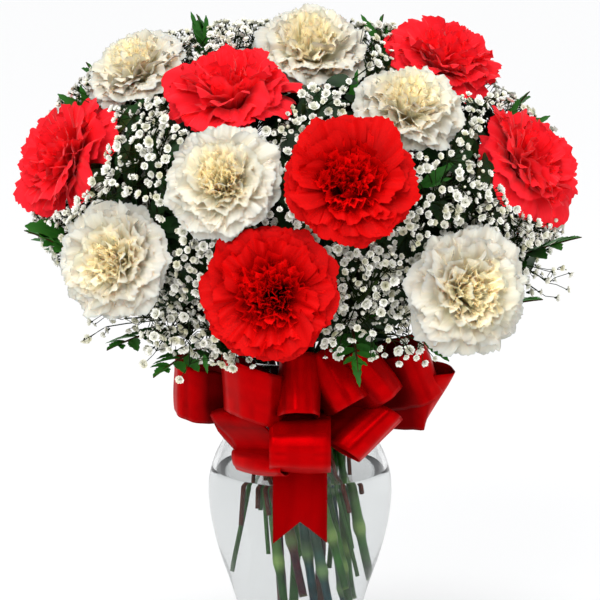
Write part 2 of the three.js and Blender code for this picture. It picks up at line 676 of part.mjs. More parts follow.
// A loop of ribbon, gathered in the knot, with straight sides and a round far end.
function loopSolid({ end, width, tip, opening, bulge = [0, 0, 0], square = true }) {
  const along = vector(end).sub(KNOT);
  const round = opening / 2;
  const middle = along.length() - round;
  along.normalize();
  const near = vector(width);
  if (square) near.addScaledVector(along, -near.dot(along));
  near.normalize();
  const far = tip ? vector(tip).normalize() : near;
  const beside = near.clone().cross(along).normalize();
  const place = (on, aside, share, twist, bulging = 0) => ({
    at: KNOT.clone()
      .addScaledVector(along, on)
      .addScaledVector(beside, aside)
      .addScaledVector(vector(bulge), bulging),
    across: near.clone().lerp(far, twist).setLength(share * RIBBON_WIDTH),
  });
  const half = [THREE.MathUtils.lerp(LOOP_START.on, middle, LOOP_MIDDLE.on), round * LOOP_MIDDLE.on];
  const stations = [
    place(half[0], -half[1], LOOP_MIDDLE.share, 0, 1),
    place(LOOP_START.on, -LOOP_START.aside, PINCH, 0),
    place(LOOP_START.on, LOOP_START.aside, PINCH, 0),
    place(half[0], half[1], LOOP_MIDDLE.share, 0, 1),
  ];
  const widest = Math.PI / 2 + Math.asin(round / middle);
  for (let i = 0; i < LOOP_ROUND; i++) {
    const turn = widest * (1 - (2 * i) / (LOOP_ROUND - 1));
    const twist = Math.max(0, Math.cos(turn));
    stations.push(place(middle + round * Math.cos(turn), round * Math.sin(turn), 1, twist));
  }
  stations.forEach((station, i) => {
    const before = stations[(i + stations.length - 1) % stations.length].at;
    const after = stations[(i + 1) % stations.length].at;
    station.off = after.clone().sub(before).cross(station.across).normalize();
  });
  return band(stations);
}

// The tail hangs flat, with a swallow-tailed end.
function tailSolid() {
  const middle = TAIL.map(vector);
  const across = new THREE.Vector3((RIBBON_WIDTH * TAIL_WIDTH) / 2, 0, 0);
  const top = [];
  middle.forEach((p, k) => {
    const share = k === 0 ? PINCH : 1;
    const notch = k === middle.length - 1 ? TAIL_NOTCH : 0;
    top.push(p.clone().addScaledVector(across, -share));
    top.push(p.clone().addScaledVector(UP, notch));
    top.push(p.clone().addScaledVector(across, share));
  });
  const faces = [];
  const rim = [0, 1, 2];
  for (let k = 0; k + 1 < middle.length; k++) {
    const a = 3 * k;
    faces.push([a, a + 3, a + 4], [a, a + 4, a + 1], [a + 1, a + 4, a + 5], [a + 1, a + 5, a + 2]);
    rim.push(a + 5);
  }
  rim.push(top.length - 2);
  for (let k = middle.length - 1; k > 0; k--) rim.push(3 * k);
  return blade(top, faces, rim.reverse(), new THREE.Vector3(0, RIBBON, 0));
}

function bowSolid() {
  const knot = new THREE.SphereGeometry(1, 8, 6).scale(...KNOT_HALF);
  return fuse([solidOf(knot.translate(...KNOT)), ...LOOPS.map(loopSolid), tailSolid()]);
}

// The ribbon that ties the bow to the vase's neck, a ring that follows the glass.
function tieSolid() {
  const corner = (height, off) => [height, wallRadius(height) + GAP + off];
  const { low, high } = TIE;
  const profile = [corner(low, 0), corner(low, RIBBON), corner(high, RIBBON), corner(high, 0)];
  return solidOf(turned([...profile, profile[0]], VASE_SIDES));
}

// The whole arrangement

const group = new THREE.Group();
group.name = "carnations_in_a_vase";

function material(colour, roughness, extra = {}) {
  return new THREE.MeshStandardMaterial({ color: colour, roughness, metalness: 0, ...extra });
}
const MATERIALS = {
  glass: material(0xe8f0ee, 0.05, { transparent: true, opacity: 0.35 }),
  water: material(0xdfe8e4, 0.05, { transparent: true, opacity: 0.35 }),
  red: material(0xd8101a, 0.6),
  white: material(0xf3efdf, 0.65),
  stem: material(0x4f7a3a, 0.6),
  baby: material(0xe9eadf, 0.8),
  fern: material(0x1f4a1c, 0.55),
  satin: material(0xb40510, 0.35),
};

// Adds one node. Its solid may be made in a frame of its own, which `place` and `turn` set in the
// arrangement.
function addNode(name, solid, finish, place = new THREE.Vector3(), turn = new THREE.Quaternion()) {
  const mesh = new THREE.Mesh(geometryOfSolid(solid), MATERIALS[finish]);
  mesh.name = name;
  mesh.position.copy(place);
  mesh.quaternion.copy(turn);
  group.add(mesh);
}

// The plants, each with the head that its stem runs to and the way that the head faces

const carnations = Object.entries(CARNATIONS).map(([name, { at, faces, radius }]) => {
  const facing = direction(faces);
  const mouth = vector(at).addScaledVector(facing, -BLOOM_MOUTH * radius);
  const head = mouth.clone().addScaledVector(facing, -CALYX_LENGTH - GAP);
  return { name, facing, mouth, head, bloomRadius: radius, radius: CARNATION_STEM, lowest: CARNATION_FEET };
});
const outward = (p) => p.clone().sub(new THREE.Vector3(0, 0, NECK_HEIGHT)).normalize();
const sprays = SPRAYS.map((tip, i) => {
  const head = vector(tip);
  const lowest = SPRAY_FEET[i % SPRAY_FEET.length];
  return { name: `baby_breath_${i + 1}`, head, facing: outward(head), radius: SPRAY_STEM, lowest };
});
const fronds = FRONDS.map(({ base, tip, width }, i) => {
  const head = vector(base);
  const facing = vector(tip).sub(head).normalize();
  const lowest = FERN_FEET[i % FERN_FEET.length];
  return { name: `fern_${i + 1}`, head, tip: vector(tip), facing, width, radius: FERN_STEM, lowest };
});
const plants = [...carnations, ...sprays, ...fronds];
neckPlaces(plants).forEach((place, i) => (plants[i].place = place));

// What the florets of baby's breath keep clear of
function floretObstacles() {
  return [
    ...carnations.flatMap((plant) => [...bloomBalls(plant), ...stemBalls(plant, STEM_ROOM)]),
    ...fronds.flatMap((frond) => [...frondBalls(frond), ...stemBalls(frond, STEM_ROOM)]),
    ...sprays.flatMap((spray, owner) => stemBalls(spray, 0, owner)),
  ];
}

addNode("vase", solidOf(turned(vaseProfile(), VASE_SIDES)), "glass");
const holes = carnations.map((plant) => carnationStem(plant, GAP));
holes.push(...[...sprays, ...fronds].map((plant) => thinStem(plant, GAP)));
addNode("water", waterSolid(holes), "water");
addNode("bow", bowSolid(), "satin");
addNode("neck_ribbon", tieSolid(), "satin");

carnations.forEach((plant, i) => {
  const upright = new THREE.Matrix4().lookAt(plant.facing, new THREE.Vector3(), UP);
  const turn = new THREE.Quaternion().setFromRotationMatrix(upright);
  const colour = plant.name.startsWith("red") ? "red" : "white";
  addNode(`bloom_${plant.name}`, bloomSolid(plant.bloomRadius, seeded(i + 1)), colour, plant.mouth, turn);
  addNode(`stem_${plant.name}`, carnationStem(plant), "stem");
});
fronds.forEach((frond) => addNode(frond.name, frondSolid(frond), "fern"));

const tufts = shareFlorets(sprays, floretObstacles(), seeded(FLORET_SEED));
sprays.forEach((spray, i) => addNode(spray.name, spraySolid(spray, tufts[i]), "baby"));

export default group;
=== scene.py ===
"""The looks of a dozen carnations with baby's breath and fern in a clear glass vase.

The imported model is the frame. Every size below is in millimetres, with +Z up and the bow facing -Y,
until a piece's mesh is made, which turns it to metres. The stems, blooms, sprays, fronds and the bow
follow the same named values as the solids that they stand for.
"""

import logging
import math
from collections.abc import Sequence
from dataclasses import dataclass, field
from enum import Enum

import bpy
import numpy as np
from bpy.types import ID, Material, Node, NodeSocket, NodeTree, Object
from numpy.random import Generator, default_rng
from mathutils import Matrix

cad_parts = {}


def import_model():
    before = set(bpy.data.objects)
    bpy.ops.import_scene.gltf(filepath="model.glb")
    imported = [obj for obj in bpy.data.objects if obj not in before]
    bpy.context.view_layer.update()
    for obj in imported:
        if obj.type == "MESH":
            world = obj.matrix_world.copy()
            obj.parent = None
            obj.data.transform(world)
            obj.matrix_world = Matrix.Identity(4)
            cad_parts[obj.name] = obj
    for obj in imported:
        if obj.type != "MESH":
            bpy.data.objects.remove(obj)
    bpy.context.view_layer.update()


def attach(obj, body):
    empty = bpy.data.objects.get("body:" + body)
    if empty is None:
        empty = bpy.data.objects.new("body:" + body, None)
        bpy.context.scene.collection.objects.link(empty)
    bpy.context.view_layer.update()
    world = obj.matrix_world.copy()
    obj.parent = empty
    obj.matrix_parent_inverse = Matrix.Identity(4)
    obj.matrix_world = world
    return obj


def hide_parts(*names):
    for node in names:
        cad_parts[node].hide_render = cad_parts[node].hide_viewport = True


Points = np.ndarray | Sequence[Sequence[float]]
Triple = tuple[float, float, float]

LOG = logging.getLogger("carnations")
MM = 0.001
SHADER = "Principled BSDF"
UP = np.array([0.0, 0.0, 1.0])
# The way from the arrangement to someone who looks at its front
FRONT_RISE = math.radians(10)
FRONT = np.array([0.0, -math.cos(FRONT_RISE), math.sin(FRONT_RISE)])

# Vase and water
LATHE_SIDES = 96
VASE_HEIGHT = 230.0
GLASS = 3.0
BASE_GLASS = 11.0
RIM_ROUND = 1.5
WATER_TOP = 158.0
VASE_WALL = (
    (1.5, 34.0),
    (14.0, 32.5),
    (34.0, 32.0),
    (58.0, 34.5),
    (84.0, 41.5),
    (108.0, 49.5),
    (130.0, 54.5),
    (150.0, 55.5),
    (166.0, 51.5),
    (180.0, 44.0),
    (192.0, 38.5),
    (203.0, 37.0),
    (214.0, 39.5),
    (VASE_HEIGHT - RIM_ROUND, 47.0),
)

# How the stems run: side by side through the neck, then straight down in a twisted bundle that has
# turned by TWIST and spread by FEET_SPREAD at FEET_HEIGHT
NECK_HEIGHT = 203.0
NECK_SPREAD = 30.5
NECK_ROUNDS = 400
FEET_HEIGHT = 100.0
FEET_SPREAD = 1.22
FOOT_STEP = 2.0
TWIST = math.radians(52)
LEAN_MOST = 0.9
STEM_GAP = 1.6
CLEAR_OF_RIM = 44.0
CLEAR_OF_WALL = 3.0
STRAIGHT_TOP = WATER_TOP + 8

# Radii of the stems, the calyx's size, and how low each kind of stem may reach
CARNATION_STEM = 2.3
CALYX_LENGTH = 27.0
CALYX_RADIUS = 7.0
SPRAY_STEM = 1.2
FERN_STEM = 1.3
CARNATION_FEET = BASE_GLASS + 6
SPRAY_FEET = (112.0, 96.0, 134.0, 122.0)
FERN_FEET = (136.0, 126.0, 142.0)
GAP = 0.3

# How many points there are along the lower and upper stretches of a stem
CARNATION_STEPS = (34, 24)
THIN_LOW = 6
SPRAY_STEPS = 30
FERN_STEPS = 24
THIN_SIDES = 7


def linear(colour: str) -> tuple[float, float, float, float]:
    """Turns an sRGB hex colour to linear light.

    Args:
        colour: six hex digits after a hash sign.

    Returns:
        Linear red, green and blue, and an alpha of 1.
    """
    shares = [int(colour[i : i + 2], 16) / 255 for i in (1, 3, 5)]
    light = [c / 12.92 if c <= 0.04045 else ((c + 0.055) / 1.055) ** 2.4 for c in shares]
    return (light[0], light[1], light[2], 1.0)


def set_inputs(node: Node, inputs: dict) -> None:
    """Sets a node's inputs.

    Args:
        node: the node.
        inputs: a value, or a socket to link from, for each input by its name or number.
    """
    for name, value in inputs.items():
        if isinstance(value, NodeSocket):
            node.id_data.links.new(value, node.inputs[name])
        else:
            node.inputs[name].default_value = value


def add_node(
    tree: NodeTree,
    kind: str,
    inputs: dict | None = None,
    stops: Sequence[tuple[float, str]] = (),
    **settings: object,
) -> Node:
    """Adds a node with its settings and links.

    Args:
        tree: the material's node tree.
        kind: the node's type name.
        inputs: what its inputs are set to. A Mix node's colours are its inputs 6 and 7.
        stops: place and hex colour of each stop of a colour ramp.
        **settings: the node's own properties.

    Returns:
        The new node.
    """
    node = tree.nodes.new(kind)
    for name, value in settings.items():
        setattr(node, name, value)
    set_inputs(node, inputs or {})
    if stops:
        marks = node.color_ramp.elements
        while len(marks) < len(stops):
            marks.new(0.5)
        for mark, (place, colour) in zip(marks, stops):
            mark.position = place
            mark.color = linear(colour)
    return node


def read_grain(tree: NodeTree) -> tuple[NodeSocket, list[NodeSocket]]:
    """Returns the socket of a piece's grain, and those of its three numbers: across, along and tone."""
    grain = add_node(tree, "ShaderNodeAttribute", attribute_name="grain").outputs["Vector"]
    return grain, list(add_node(tree, "ShaderNodeSeparateXYZ", {0: grain}).outputs)


def mottling(tree: NodeTree, size: float, detail: float) -> NodeSocket:
    """Returns the socket of soft patches of a size in millimetres, which lie still on the piece."""
    place = add_node(tree, "ShaderNodeTexCoord").outputs["Object"]
    inputs = {"Vector": place, "Scale": 1000.0 / size, "Detail": detail}
    return add_node(tree, "ShaderNodeTexNoise", inputs).outputs["Fac"]


@dataclass(frozen=True)
class Finish:
    """A surface finish, which makes its own material."""

    name: str

    def surface(self, tree: NodeTree) -> dict:
        """Adds the finish's nodes, and returns what the shader's inputs are set to."""
        raise NotImplementedError

    def material(self) -> Material:
        """Makes the material."""
        material = bpy.data.materials.new(self.name)
        material.use_nodes = True
        inputs = self.surface(material.node_tree)
        set_inputs(material.node_tree.nodes[SHADER], inputs)
        return material


@dataclass(frozen=True)
class PetalFinish(Finish):
    """Carnation petal: thin matt tissue with fine veins from the claw to the toothed rim.

    The velvety cells scatter light, so there is sheen and hardly any gloss. Red petals are painted darker
    towards their claw, as painted shade deep in the bloom, and white ones are yellower there. The petals of
    the heart take on the tint.
    """

    stops: tuple[tuple[float, str], ...] = ()
    tint: str = "#FFFFFF"
    tint_share: float = 0.5
    sheen: float = 0.1
    glow: float = 0.3

    def surface(self, tree: NodeTree) -> dict:
        """Colours the petal from claw to rim, with the stops wavering along the veins."""
        grain, (_, along, tone) = read_grain(tree)
        # Veins are about 0.6 mm apart: 40 across a 24 mm wide petal, drawn long by the scale.
        spread = add_node(tree, "ShaderNodeMapping", {"Vector": grain, "Scale": (20.0, 1.6, 37.0)})
        noise = {"Vector": spread.outputs[0], "Scale": 1.0, "Detail": 3.0}
        veins = add_node(tree, "ShaderNodeTexNoise", noise).outputs["Fac"]
        waver = add_node(tree, "ShaderNodeMath", {0: veins, 1: 0.22, 2: along}, operation="MULTIPLY_ADD")
        shift = add_node(tree, "ShaderNodeMath", {0: waver.outputs[0], 1: 0.11}, operation="SUBTRACT")
        ramp = add_node(tree, "ShaderNodeValToRGB", {"Fac": shift.outputs[0]}, self.stops)
        share = add_node(tree, "ShaderNodeMath", {0: tone, 1: self.tint_share}, operation="MULTIPLY")
        colours = {0: share.outputs[0], 6: ramp.outputs["Color"], 7: linear(self.tint)}
        mix = add_node(tree, "ShaderNodeMix", colours, data_type="RGBA")
        bump = add_node(tree, "ShaderNodeBump", {"Height": veins, "Strength": 0.35, "Distance": 0.0006})
        tree.nodes[SHADER].subsurface_method = "BURLEY"
        return {
            "Base Color": mix.outputs[2],
            "Normal": bump.outputs["Normal"],
            # Light goes 2 to 3 mm through the tissue, and redder light goes farther.
            "Subsurface Weight": self.glow,
            "Subsurface Radius": (1.0, 0.7, 0.5),
            "Subsurface Scale": 0.004,
            "Roughness": 0.62,
            "IOR": 1.4,
            "Specular IOR Level": 0.1,
            "Sheen Weight": self.sheen,
            "Sheen Roughness": 0.4,
        }


@dataclass(frozen=True)
class GreenFinish(Finish):
    """Living green tissue: a waxy skin over mottled cells, with a soft gloss.

    The mottling is patches of two greens, `patch` millimetres wide, and the third colour shows at
    swollen joints, veins and cut feet, where the grain's tone says so.
    """

    deep: str
    light: str
    accent: str
    patch: float
    roughness: float
    gloss: float = 0.4

    def surface(self, tree: NodeTree) -> dict:
        """Mottles the tissue, and roughens it a little in the same places."""
        tone = read_grain(tree)[1][2]
        cells = mottling(tree, self.patch, 4.0)
        ramp = add_node(tree, "ShaderNodeValToRGB", {"Fac": cells}, ((0.32, self.deep), (0.68, self.light)))
        colours = {0: tone, 6: ramp.outputs["Color"], 7: linear(self.accent)}
        mix = add_node(tree, "ShaderNodeMix", colours, data_type="RGBA")
        bump = add_node(tree, "ShaderNodeBump", {"Height": cells, "Strength": 0.3, "Distance": 0.0005})
        return {
            "Base Color": mix.outputs[2],
            "Normal": bump.outputs["Normal"],
            "Roughness": self.roughness,
            "IOR": 1.45,
            "Specular IOR Level": self.gloss,
        }


@dataclass(frozen=True)
class FloretFinish(Finish):
    """Baby's breath floret: papery white petals, greenish where they meet in the middle.

    Some florets are older and creamier: the patches of age take in one or two of them.
    """

    age_patch: float = 1000 / 110

    def surface(self, tree: NodeTree) -> dict:
        """Colours the florets from their middle to their rim, and by their age."""
        along = read_grain(tree)[1][1]
        stops = ((0.05, "#9A9F78"), (0.4, "#E4E4D4"), (0.8, "#FDFCF6"))
        ramp = add_node(tree, "ShaderNodeValToRGB", {"Fac": along}, stops)
        age = {"Value": mottling(tree, self.age_patch, 1.0), "From Min": 0.5, "From Max": 0.75, "To Max": 0.7}
        old = add_node(tree, "ShaderNodeMapRange", age)
        colours = {0: old.outputs[0], 6: ramp.outputs["Color"], 7: linear("#D6D2A4")}
        mix = add_node(tree, "ShaderNodeMix", colours, data_type="RGBA")
        return {"Base Color": mix.outputs[2], "Roughness": 0.75, "IOR": 1.4, "Sheen Weight": 0.1}


@dataclass(frozen=True)
class SatinFinish(Finish):
    """Polyester satin ribbon: long floats of bright thread, which draw the light out along it.

    The threads are finer than a pixel, so the bump is drawn as lines about 0.8 mm apart that run
    along the ribbon, and the satin's own colour changes only slowly, over 20 to 40 mm. Painted shade,
    mixed in by the grain's tone, darkens the loops towards the knot and in bands across their folds.
    """

    colour: str = "#BE0004"
    dark: str = "#9C0003"
    # The deep red is the colour of the painted shade.
    deep: str = "#5C0002"

    def surface(self, tree: NodeTree) -> dict:
        """Streaks the satin, and mixes in the painted shade that the grain's tone carries."""
        grain, (_, _, tone) = read_grain(tree)
        spread = add_node(tree, "ShaderNodeMapping", {"Vector": grain, "Scale": (22.0, 4.0, 1.0)})
        noise = {"Vector": spread.outputs[0], "Scale": 1.0, "Detail": 2.0}
        floats = add_node(tree, "ShaderNodeTexNoise", noise)
        slow = add_node(tree, "ShaderNodeTexNoise", {"Vector": grain, "Scale": 1.6})
        stops = ((0.3, self.dark), (0.7, self.colour))
        ramp = add_node(tree, "ShaderNodeValToRGB", {"Fac": slow.outputs["Fac"]}, stops)
        # The grain's tone mixes the deep red in as painted shade.
        colours = {0: tone, 6: ramp.outputs["Color"], 7: linear(self.deep)}
        mix = add_node(tree, "ShaderNodeMix", colours, data_type="RGBA")
        threads = {"Height": floats.outputs["Fac"], "Strength": 0.12, "Distance": 0.0002}
        return {
            "Base Color": mix.outputs[2],
            "Normal": add_node(tree, "ShaderNodeBump", threads).outputs["Normal"],
            # The threads throw back light of their own colour, as a metal does.
            "Metallic": 0.45,
            "Roughness": 0.36,
            "IOR": 1.45,
            "Specular IOR Level": 0.25,
            "Specular Tint": linear("#FF1410"),
            "Sheen Weight": 0.1,
            "Sheen Tint": linear("#FF2018"),
        }


@dataclass(frozen=True)
class ClearFinish(Finish):
    """Blown soda-lime glass or still water: clear, with slow waves of thickness in its surface.

    The waves are `wave` millimetres long and `depth` metres deep.
    """

    ior: float
    tint: str
    wave: float = 30.0
    depth: float = 0.0002

    def surface(self, tree: NodeTree) -> dict:
        """Makes the finish clear, smooth and slightly wavy."""
        slow = {"Height": mottling(tree, self.wave, 1.0), "Strength": 0.3, "Distance": self.depth}
        return {
            "Normal": add_node(tree, "ShaderNodeBump", slow).outputs["Normal"],
            "Base Color": linear(self.tint),
            "Transmission Weight": 1.0,
            "Specular IOR Level": 0.15,
            "Roughness": 0.0,
            "IOR": self.ior,
        }


@dataclass(frozen=True)
class OpalFinish(Finish):
    """Cast opal acrylic of a light table, for the floor: matt, faintly toothed and lit from below."""

    colour: str = "#D0D0D0"
    glow: float = 0.3

    def surface(self, tree: NodeTree) -> dict:
        """Makes the pale floor, whose light shows through the glass foot."""
        tooth = add_node(tree, "ShaderNodeTexNoise", {"Scale": 300.0}).outputs["Fac"]
        return {
            "Normal": add_node(tree, "ShaderNodeBump", {"Height": tooth, "Strength": 0.05}).outputs["Normal"],
            "Base Color": linear(self.colour),
            "Roughness": 0.9,
            "Emission Color": linear("#FFFFFF"),
            "Emission Strength": self.glow,
        }


def unit(way: Sequence[float] | np.ndarray) -> np.ndarray:
    """Returns a vector made one long."""
    way = np.asarray(way, dtype=float)
    return way / np.linalg.norm(way)


def units(ways: np.ndarray) -> np.ndarray:
    """Returns vectors, one row each, made one long."""
    return ways / np.linalg.norm(ways, axis=1)[:, None]


def full_turn(count: int) -> np.ndarray:
    """Returns angles that stand evenly round a circle, in radians."""
    return np.linspace(0, 2 * math.pi, count, endpoint=False)


def circle(across: np.ndarray, beside: np.ndarray, count: int) -> np.ndarray:
    """Returns points round a circle of radius 1 that lies along two unit vectors."""
    turn = full_turn(count)
    return np.outer(np.cos(turn), across) + np.outer(np.sin(turn), beside)


def turned(profile: Points, sides: int) -> np.ndarray:
    """Returns the rings that a profile of radius and height makes when it is turned about Z."""
    turn = full_turn(sides)
    rings = [[r * np.cos(turn), r * np.sin(turn), np.full(sides, z)] for r, z in profile]
    return np.stack(rings).transpose(0, 2, 1)


def set_round(out: np.ndarray, side: np.ndarray, up: np.ndarray, turn: float) -> np.ndarray:
    """Sets the points of a petal round the Z axis.

    Args:
        out: how far out from the axis each point is.
        side: how far to the petal's left it is.
        up: how high it is.
        turn: the petal's direction, in radians.

    Returns:
        The points.
    """
    c, s = math.cos(turn), math.sin(turn)
    return np.stack([out * c - side * s, out * s + side * c, up], axis=-1)


def distances(points: np.ndarray, others: Points) -> np.ndarray:
    """Returns how far each point is from each of the others, one row for each point."""
    return np.linalg.norm(points[:, None, :] - np.asarray(others)[None, :, :], axis=2)


def direction(azimuth: float, elevation: float) -> np.ndarray:
    """Returns the unit vector to an azimuth from -Y towards +X and an elevation, in degrees."""
    a, e = math.radians(azimuth), math.radians(elevation)
    return np.array([math.sin(a) * math.cos(e), -math.cos(a) * math.cos(e), math.sin(e)])


def upright_frame(facing: np.ndarray) -> np.ndarray:
    """Returns the rows of a frame whose third row is `facing` and whose first row is level."""
    across = unit(np.cross(UP, facing))
    return np.array([across, np.cross(facing, across), facing])


def wall_radius(height: float) -> float:
    """Returns the vase's outer radius at a height, along its straight-sided solid."""
    heights, radii = zip(*VASE_WALL)
    return float(np.interp(height, heights, radii))


def smooth_through(knots: Points, steps: int) -> np.ndarray:
    """Draws a smooth curve through points.

    Args:
        knots: the points, one row each.
        steps: how many new points there are for each stretch between two of them.

    Returns:
        The points of the curve, one row each.
    """
    knots = np.array(knots, dtype=float)
    ends = np.vstack([2 * knots[0] - knots[1], knots, 2 * knots[-1] - knots[-2]])
    curve = []
    for a, b, c, d in zip(ends, ends[1:], ends[2:], ends[3:]):
        for t in np.linspace(0, 1, steps, endpoint=False):
            bend = 2 * b + (c - a) * t + (2 * a - 5 * b + 4 * c - d) * t**2 + (3 * b - a - 3 * c + d) * t**3
            curve.append(0.5 * bend)
    return np.array([*curve, knots[-1]])


def bowed(start: np.ndarray, bend: np.ndarray, end: np.ndarray, count: int) -> np.ndarray:
    """Returns points along a curve from one point to another, drawn towards a third."""
    t = np.linspace(0, 1, count)[:, None]
    return start * (1 - t) ** 2 + 2 * bend * t * (1 - t) + end * t**2


@dataclass
class Patchwork:
    """Collects the patches of one piece, in millimetres, and makes its mesh.

    `grain` of a point is where it lies across and along its patch, and a tone from 0 to 1.
    """

    points: list[np.ndarray] = field(default_factory=list)
    grain: list[np.ndarray] = field(default_factory=list)
    faces: list[list[int]] = field(default_factory=list)
    looks: list[int] = field(default_factory=list)
    count: int = 0

    def add(self, points: np.ndarray, grain: np.ndarray, faces: np.ndarray, looks: list[int]) -> None:
        """Adds a patch.

        Args:
            points: its points, one row each.
            grain: across, along and tone of each point.
            faces: point numbers of each face, one row each.
            looks: number of each face's material on the piece.
        """
        self.points.append(points)
        self.grain.append(grain)
        self.faces.extend((faces + self.count).tolist())
        self.looks.extend(looks)
        self.count += len(points)

    def sheet(self, points: np.ndarray, tone: float, look: int = 0, joined: bool = False) -> None:
        """Adds a grid of points as a sheet.

        Args:
            points: rows along the patch, columns across it, and three coordinates.
            tone: the tone of all of it.
            look: number of its material on the piece.
            joined: whether the last column meets the first.
        """
        rows, columns = points.shape[:2]
        row, column = np.meshgrid(np.arange(rows - 1), np.arange(columns - (not joined)), indexing="ij")
        beside = (column + 1) % columns
        corners = [row * columns + column, row * columns + beside]
        corners += [(row + 1) * columns + beside, (row + 1) * columns + column]
        faces = np.stack(corners, axis=-1).reshape(-1, 4)
        along, across = np.meshgrid(np.linspace(0, 1, rows), np.linspace(-1, 1, columns), indexing="ij")
        grain = np.stack([across, along, np.full_like(along, tone)], axis=-1).reshape(-1, 3)
        self.add(points.reshape(-1, 3), grain, faces, [look] * len(faces))

    def thread(self, path: np.ndarray, radius: float, look: int = 0) -> None:
        """Adds a fine three-sided thread with open ends.

        Args:
            path: the points along its middle.
            radius: its radius.
            look: number of its material on the piece.
        """
        way = unit(path[-1] - path[0])
        across = unit(np.cross(way, [1.0, 0.3, 0.0]))
        ring = radius * circle(across, np.cross(way, across), 3)
        self.sheet(path[:, None, :] + ring[None, :, :], 0.0, look, joined=True)

    def tube(
        self, path: np.ndarray, radii: Sequence[float], sides: int, tones: Sequence[float], look: int = 0
    ) -> None:
        """Adds a closed round tube.

        Args:
            path: the points along its middle.
            radii: its radius at each of them.
            sides: how many sides it has.
            tones: its tone at each of them.
            look: number of its material on the piece.
        """
        across = np.array([1.0, 0.0, 0.0])
        rings = []
        for point, way, radius in zip(path, units(np.gradient(path, axis=0)), radii):
            across = unit(across - way * across.dot(way))
            rings.append(point + radius * circle(across, np.cross(way, across), sides))
        rings = [np.repeat(path[:1], sides, 0), *rings, np.repeat(path[-1:], sides, 0)]
        self.sheet(np.array(rings), 0.0, look, joined=True)
        self.grain[-1][:, 2] = np.repeat([tones[0], *tones, tones[-1]], sides)

    def make(self, name: str, finishes: Sequence[Material], slot: str, *nodes: str) -> Object:
        """Makes the piece, which rides on the one body and stands for its solids.

        Args:
            name: its name.
            finishes: its materials, in the order of their numbers.
            slot: not used.
            *nodes: the solids that it replaces.

        Returns:
            The new object, with its place in its mesh.
        """
        mesh = bpy.data.meshes.new(name)
        mesh.from_pydata((np.concatenate(self.points) * MM).tolist(), [], self.faces)
        attribute = mesh.attributes.new("grain", "FLOAT_VECTOR", "POINT")
        attribute.data.foreach_set("vector", np.concatenate(self.grain).astype(np.float32).ravel())
        mesh.polygons.foreach_set("material_index", np.array(self.looks, dtype=np.int32))
        mesh.polygons.foreach_set("use_smooth", np.ones(len(self.faces), dtype=bool))
        for finish in finishes:
            mesh.materials.append(finish)
        mesh.validate()
        piece = bpy.data.objects.new(name, mesh)
        bpy.context.scene.collection.objects.link(piece)
        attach(piece, "root")
        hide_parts(*nodes)
        LOG.info("%s: %d faces, for %s", name, len(mesh.polygons), ", ".join(nodes))
        return piece


@dataclass
class Plant:
    """A stem that stands in the vase.

    It has a head, the way that the head faces, a radius, and the lowest that its foot may reach.
    """

    name: str
    head: np.ndarray
    facing: np.ndarray
    radius: float
    lowest: float
    place: np.ndarray = field(default_factory=lambda: np.zeros(2))

    def bundle_point(self, height: float) -> np.ndarray:
        """Returns the point of the stem's straight lower end at a height."""
        share = (NECK_HEIGHT - height) / (NECK_HEIGHT - FEET_HEIGHT)
        c, s = math.cos(TWIST), math.sin(TWIST)
        twisted = np.array([[c, -s], [s, c]]) @ self.place * FEET_SPREAD
        x, y = self.place + (twisted - self.place) * share
        return np.array([x, y, height])

    def foot_height(self) -> float:
        """Returns how low the stem reaches before it meets the vase's wall."""
        height = STRAIGHT_TOP - GAP
        while height > self.lowest:
            lower = height - FOOT_STEP
            x, y, _ = self.bundle_point(lower)
            if math.hypot(x, y) + self.radius > wall_radius(lower) - GLASS - CLEAR_OF_WALL:
                break
            height = lower
        return height

    def lower_path(self, count: int) -> list[np.ndarray]:
        """Returns points up the stem's straight lower end, from its foot to above the water."""
        return [self.bundle_point(z) for z in np.linspace(self.foot_height(), STRAIGHT_TOP, count)]

    def upper_path(self, count: int) -> np.ndarray:
        """Returns points along the stem's curve from the neck to its head."""
        neck = self.bundle_point(NECK_HEIGHT)
        rise = unit(neck - self.bundle_point(NECK_HEIGHT - 10))
        reach = float(np.linalg.norm(self.head - neck))
        a, b = neck, neck + rise * max(reach * 0.3, CLEAR_OF_RIM)
        c, d = self.head - self.facing * reach * 0.3, self.head
        t = np.linspace(0, 1, count)[:, None]
        return a * (1 - t) ** 3 + 3 * b * t * (1 - t) ** 2 + 3 * c * t**2 * (1 - t) + d * t**3

    def add_thin(self, work: Patchwork, count: int) -> np.ndarray:
        """Adds the stem of a spray or a frond, with the accent of its finish in the vase.

        Args:
            work: the patchwork that it goes into, as its second material.
            count: how many points its upper stretch has.

        Returns:
            The points of its upper stretch.
        """
        upper = self.upper_path(count)
        tones = [1.0] * THIN_LOW + [0.0] * count
        path = np.array([*self.lower_path(THIN_LOW), *upper])
        work.tube(path, [self.radius] * len(path), THIN_SIDES, tones, 1)
        return upper


def set_in_neck(plants: Sequence[Plant]) -> None:
    """Sets all the stems side by side in the neck, each on the side that its head is on."""
    spots = []
    for plant in plants:
        x, y, z = plant.head
        across = math.hypot(x, y)
        lean = across / math.hypot(across, z - NECK_HEIGHT)
        spread = min(1.0, lean / LEAN_MOST) * NECK_SPREAD
        spots.append([spread * x / across, spread * y / across])
    for _ in range(NECK_ROUNDS):
        for i, one in enumerate(spots):
            for j in range(i + 1, len(spots)):
                two = spots[j]
                dx, dy = two[0] - one[0], two[1] - one[1]
                apart = math.hypot(dx, dy)
                push = (plants[i].radius + plants[j].radius + STEM_GAP - apart) / 2
                if push <= 0:
                    continue
                dx, dy = dx * push / apart, dy * push / apart
                for spot, sign in ((one, -1), (two, 1)):
                    x, y = spot[0] + sign * dx, spot[1] + sign * dy
                    shrink = min(1.0, NECK_SPREAD / math.hypot(x, y))
                    spot[0], spot[1] = x * shrink, y * shrink
    for plant, spot in zip(plants, spots):
        plant.place = np.array(spot)


class Tint(Enum):
    """The three colours of the carnations."""

    SCARLET = "scarlet"
    DEEP_RED = "deep_red"
    WHITE = "white"


CLAW_STAND = 0.07


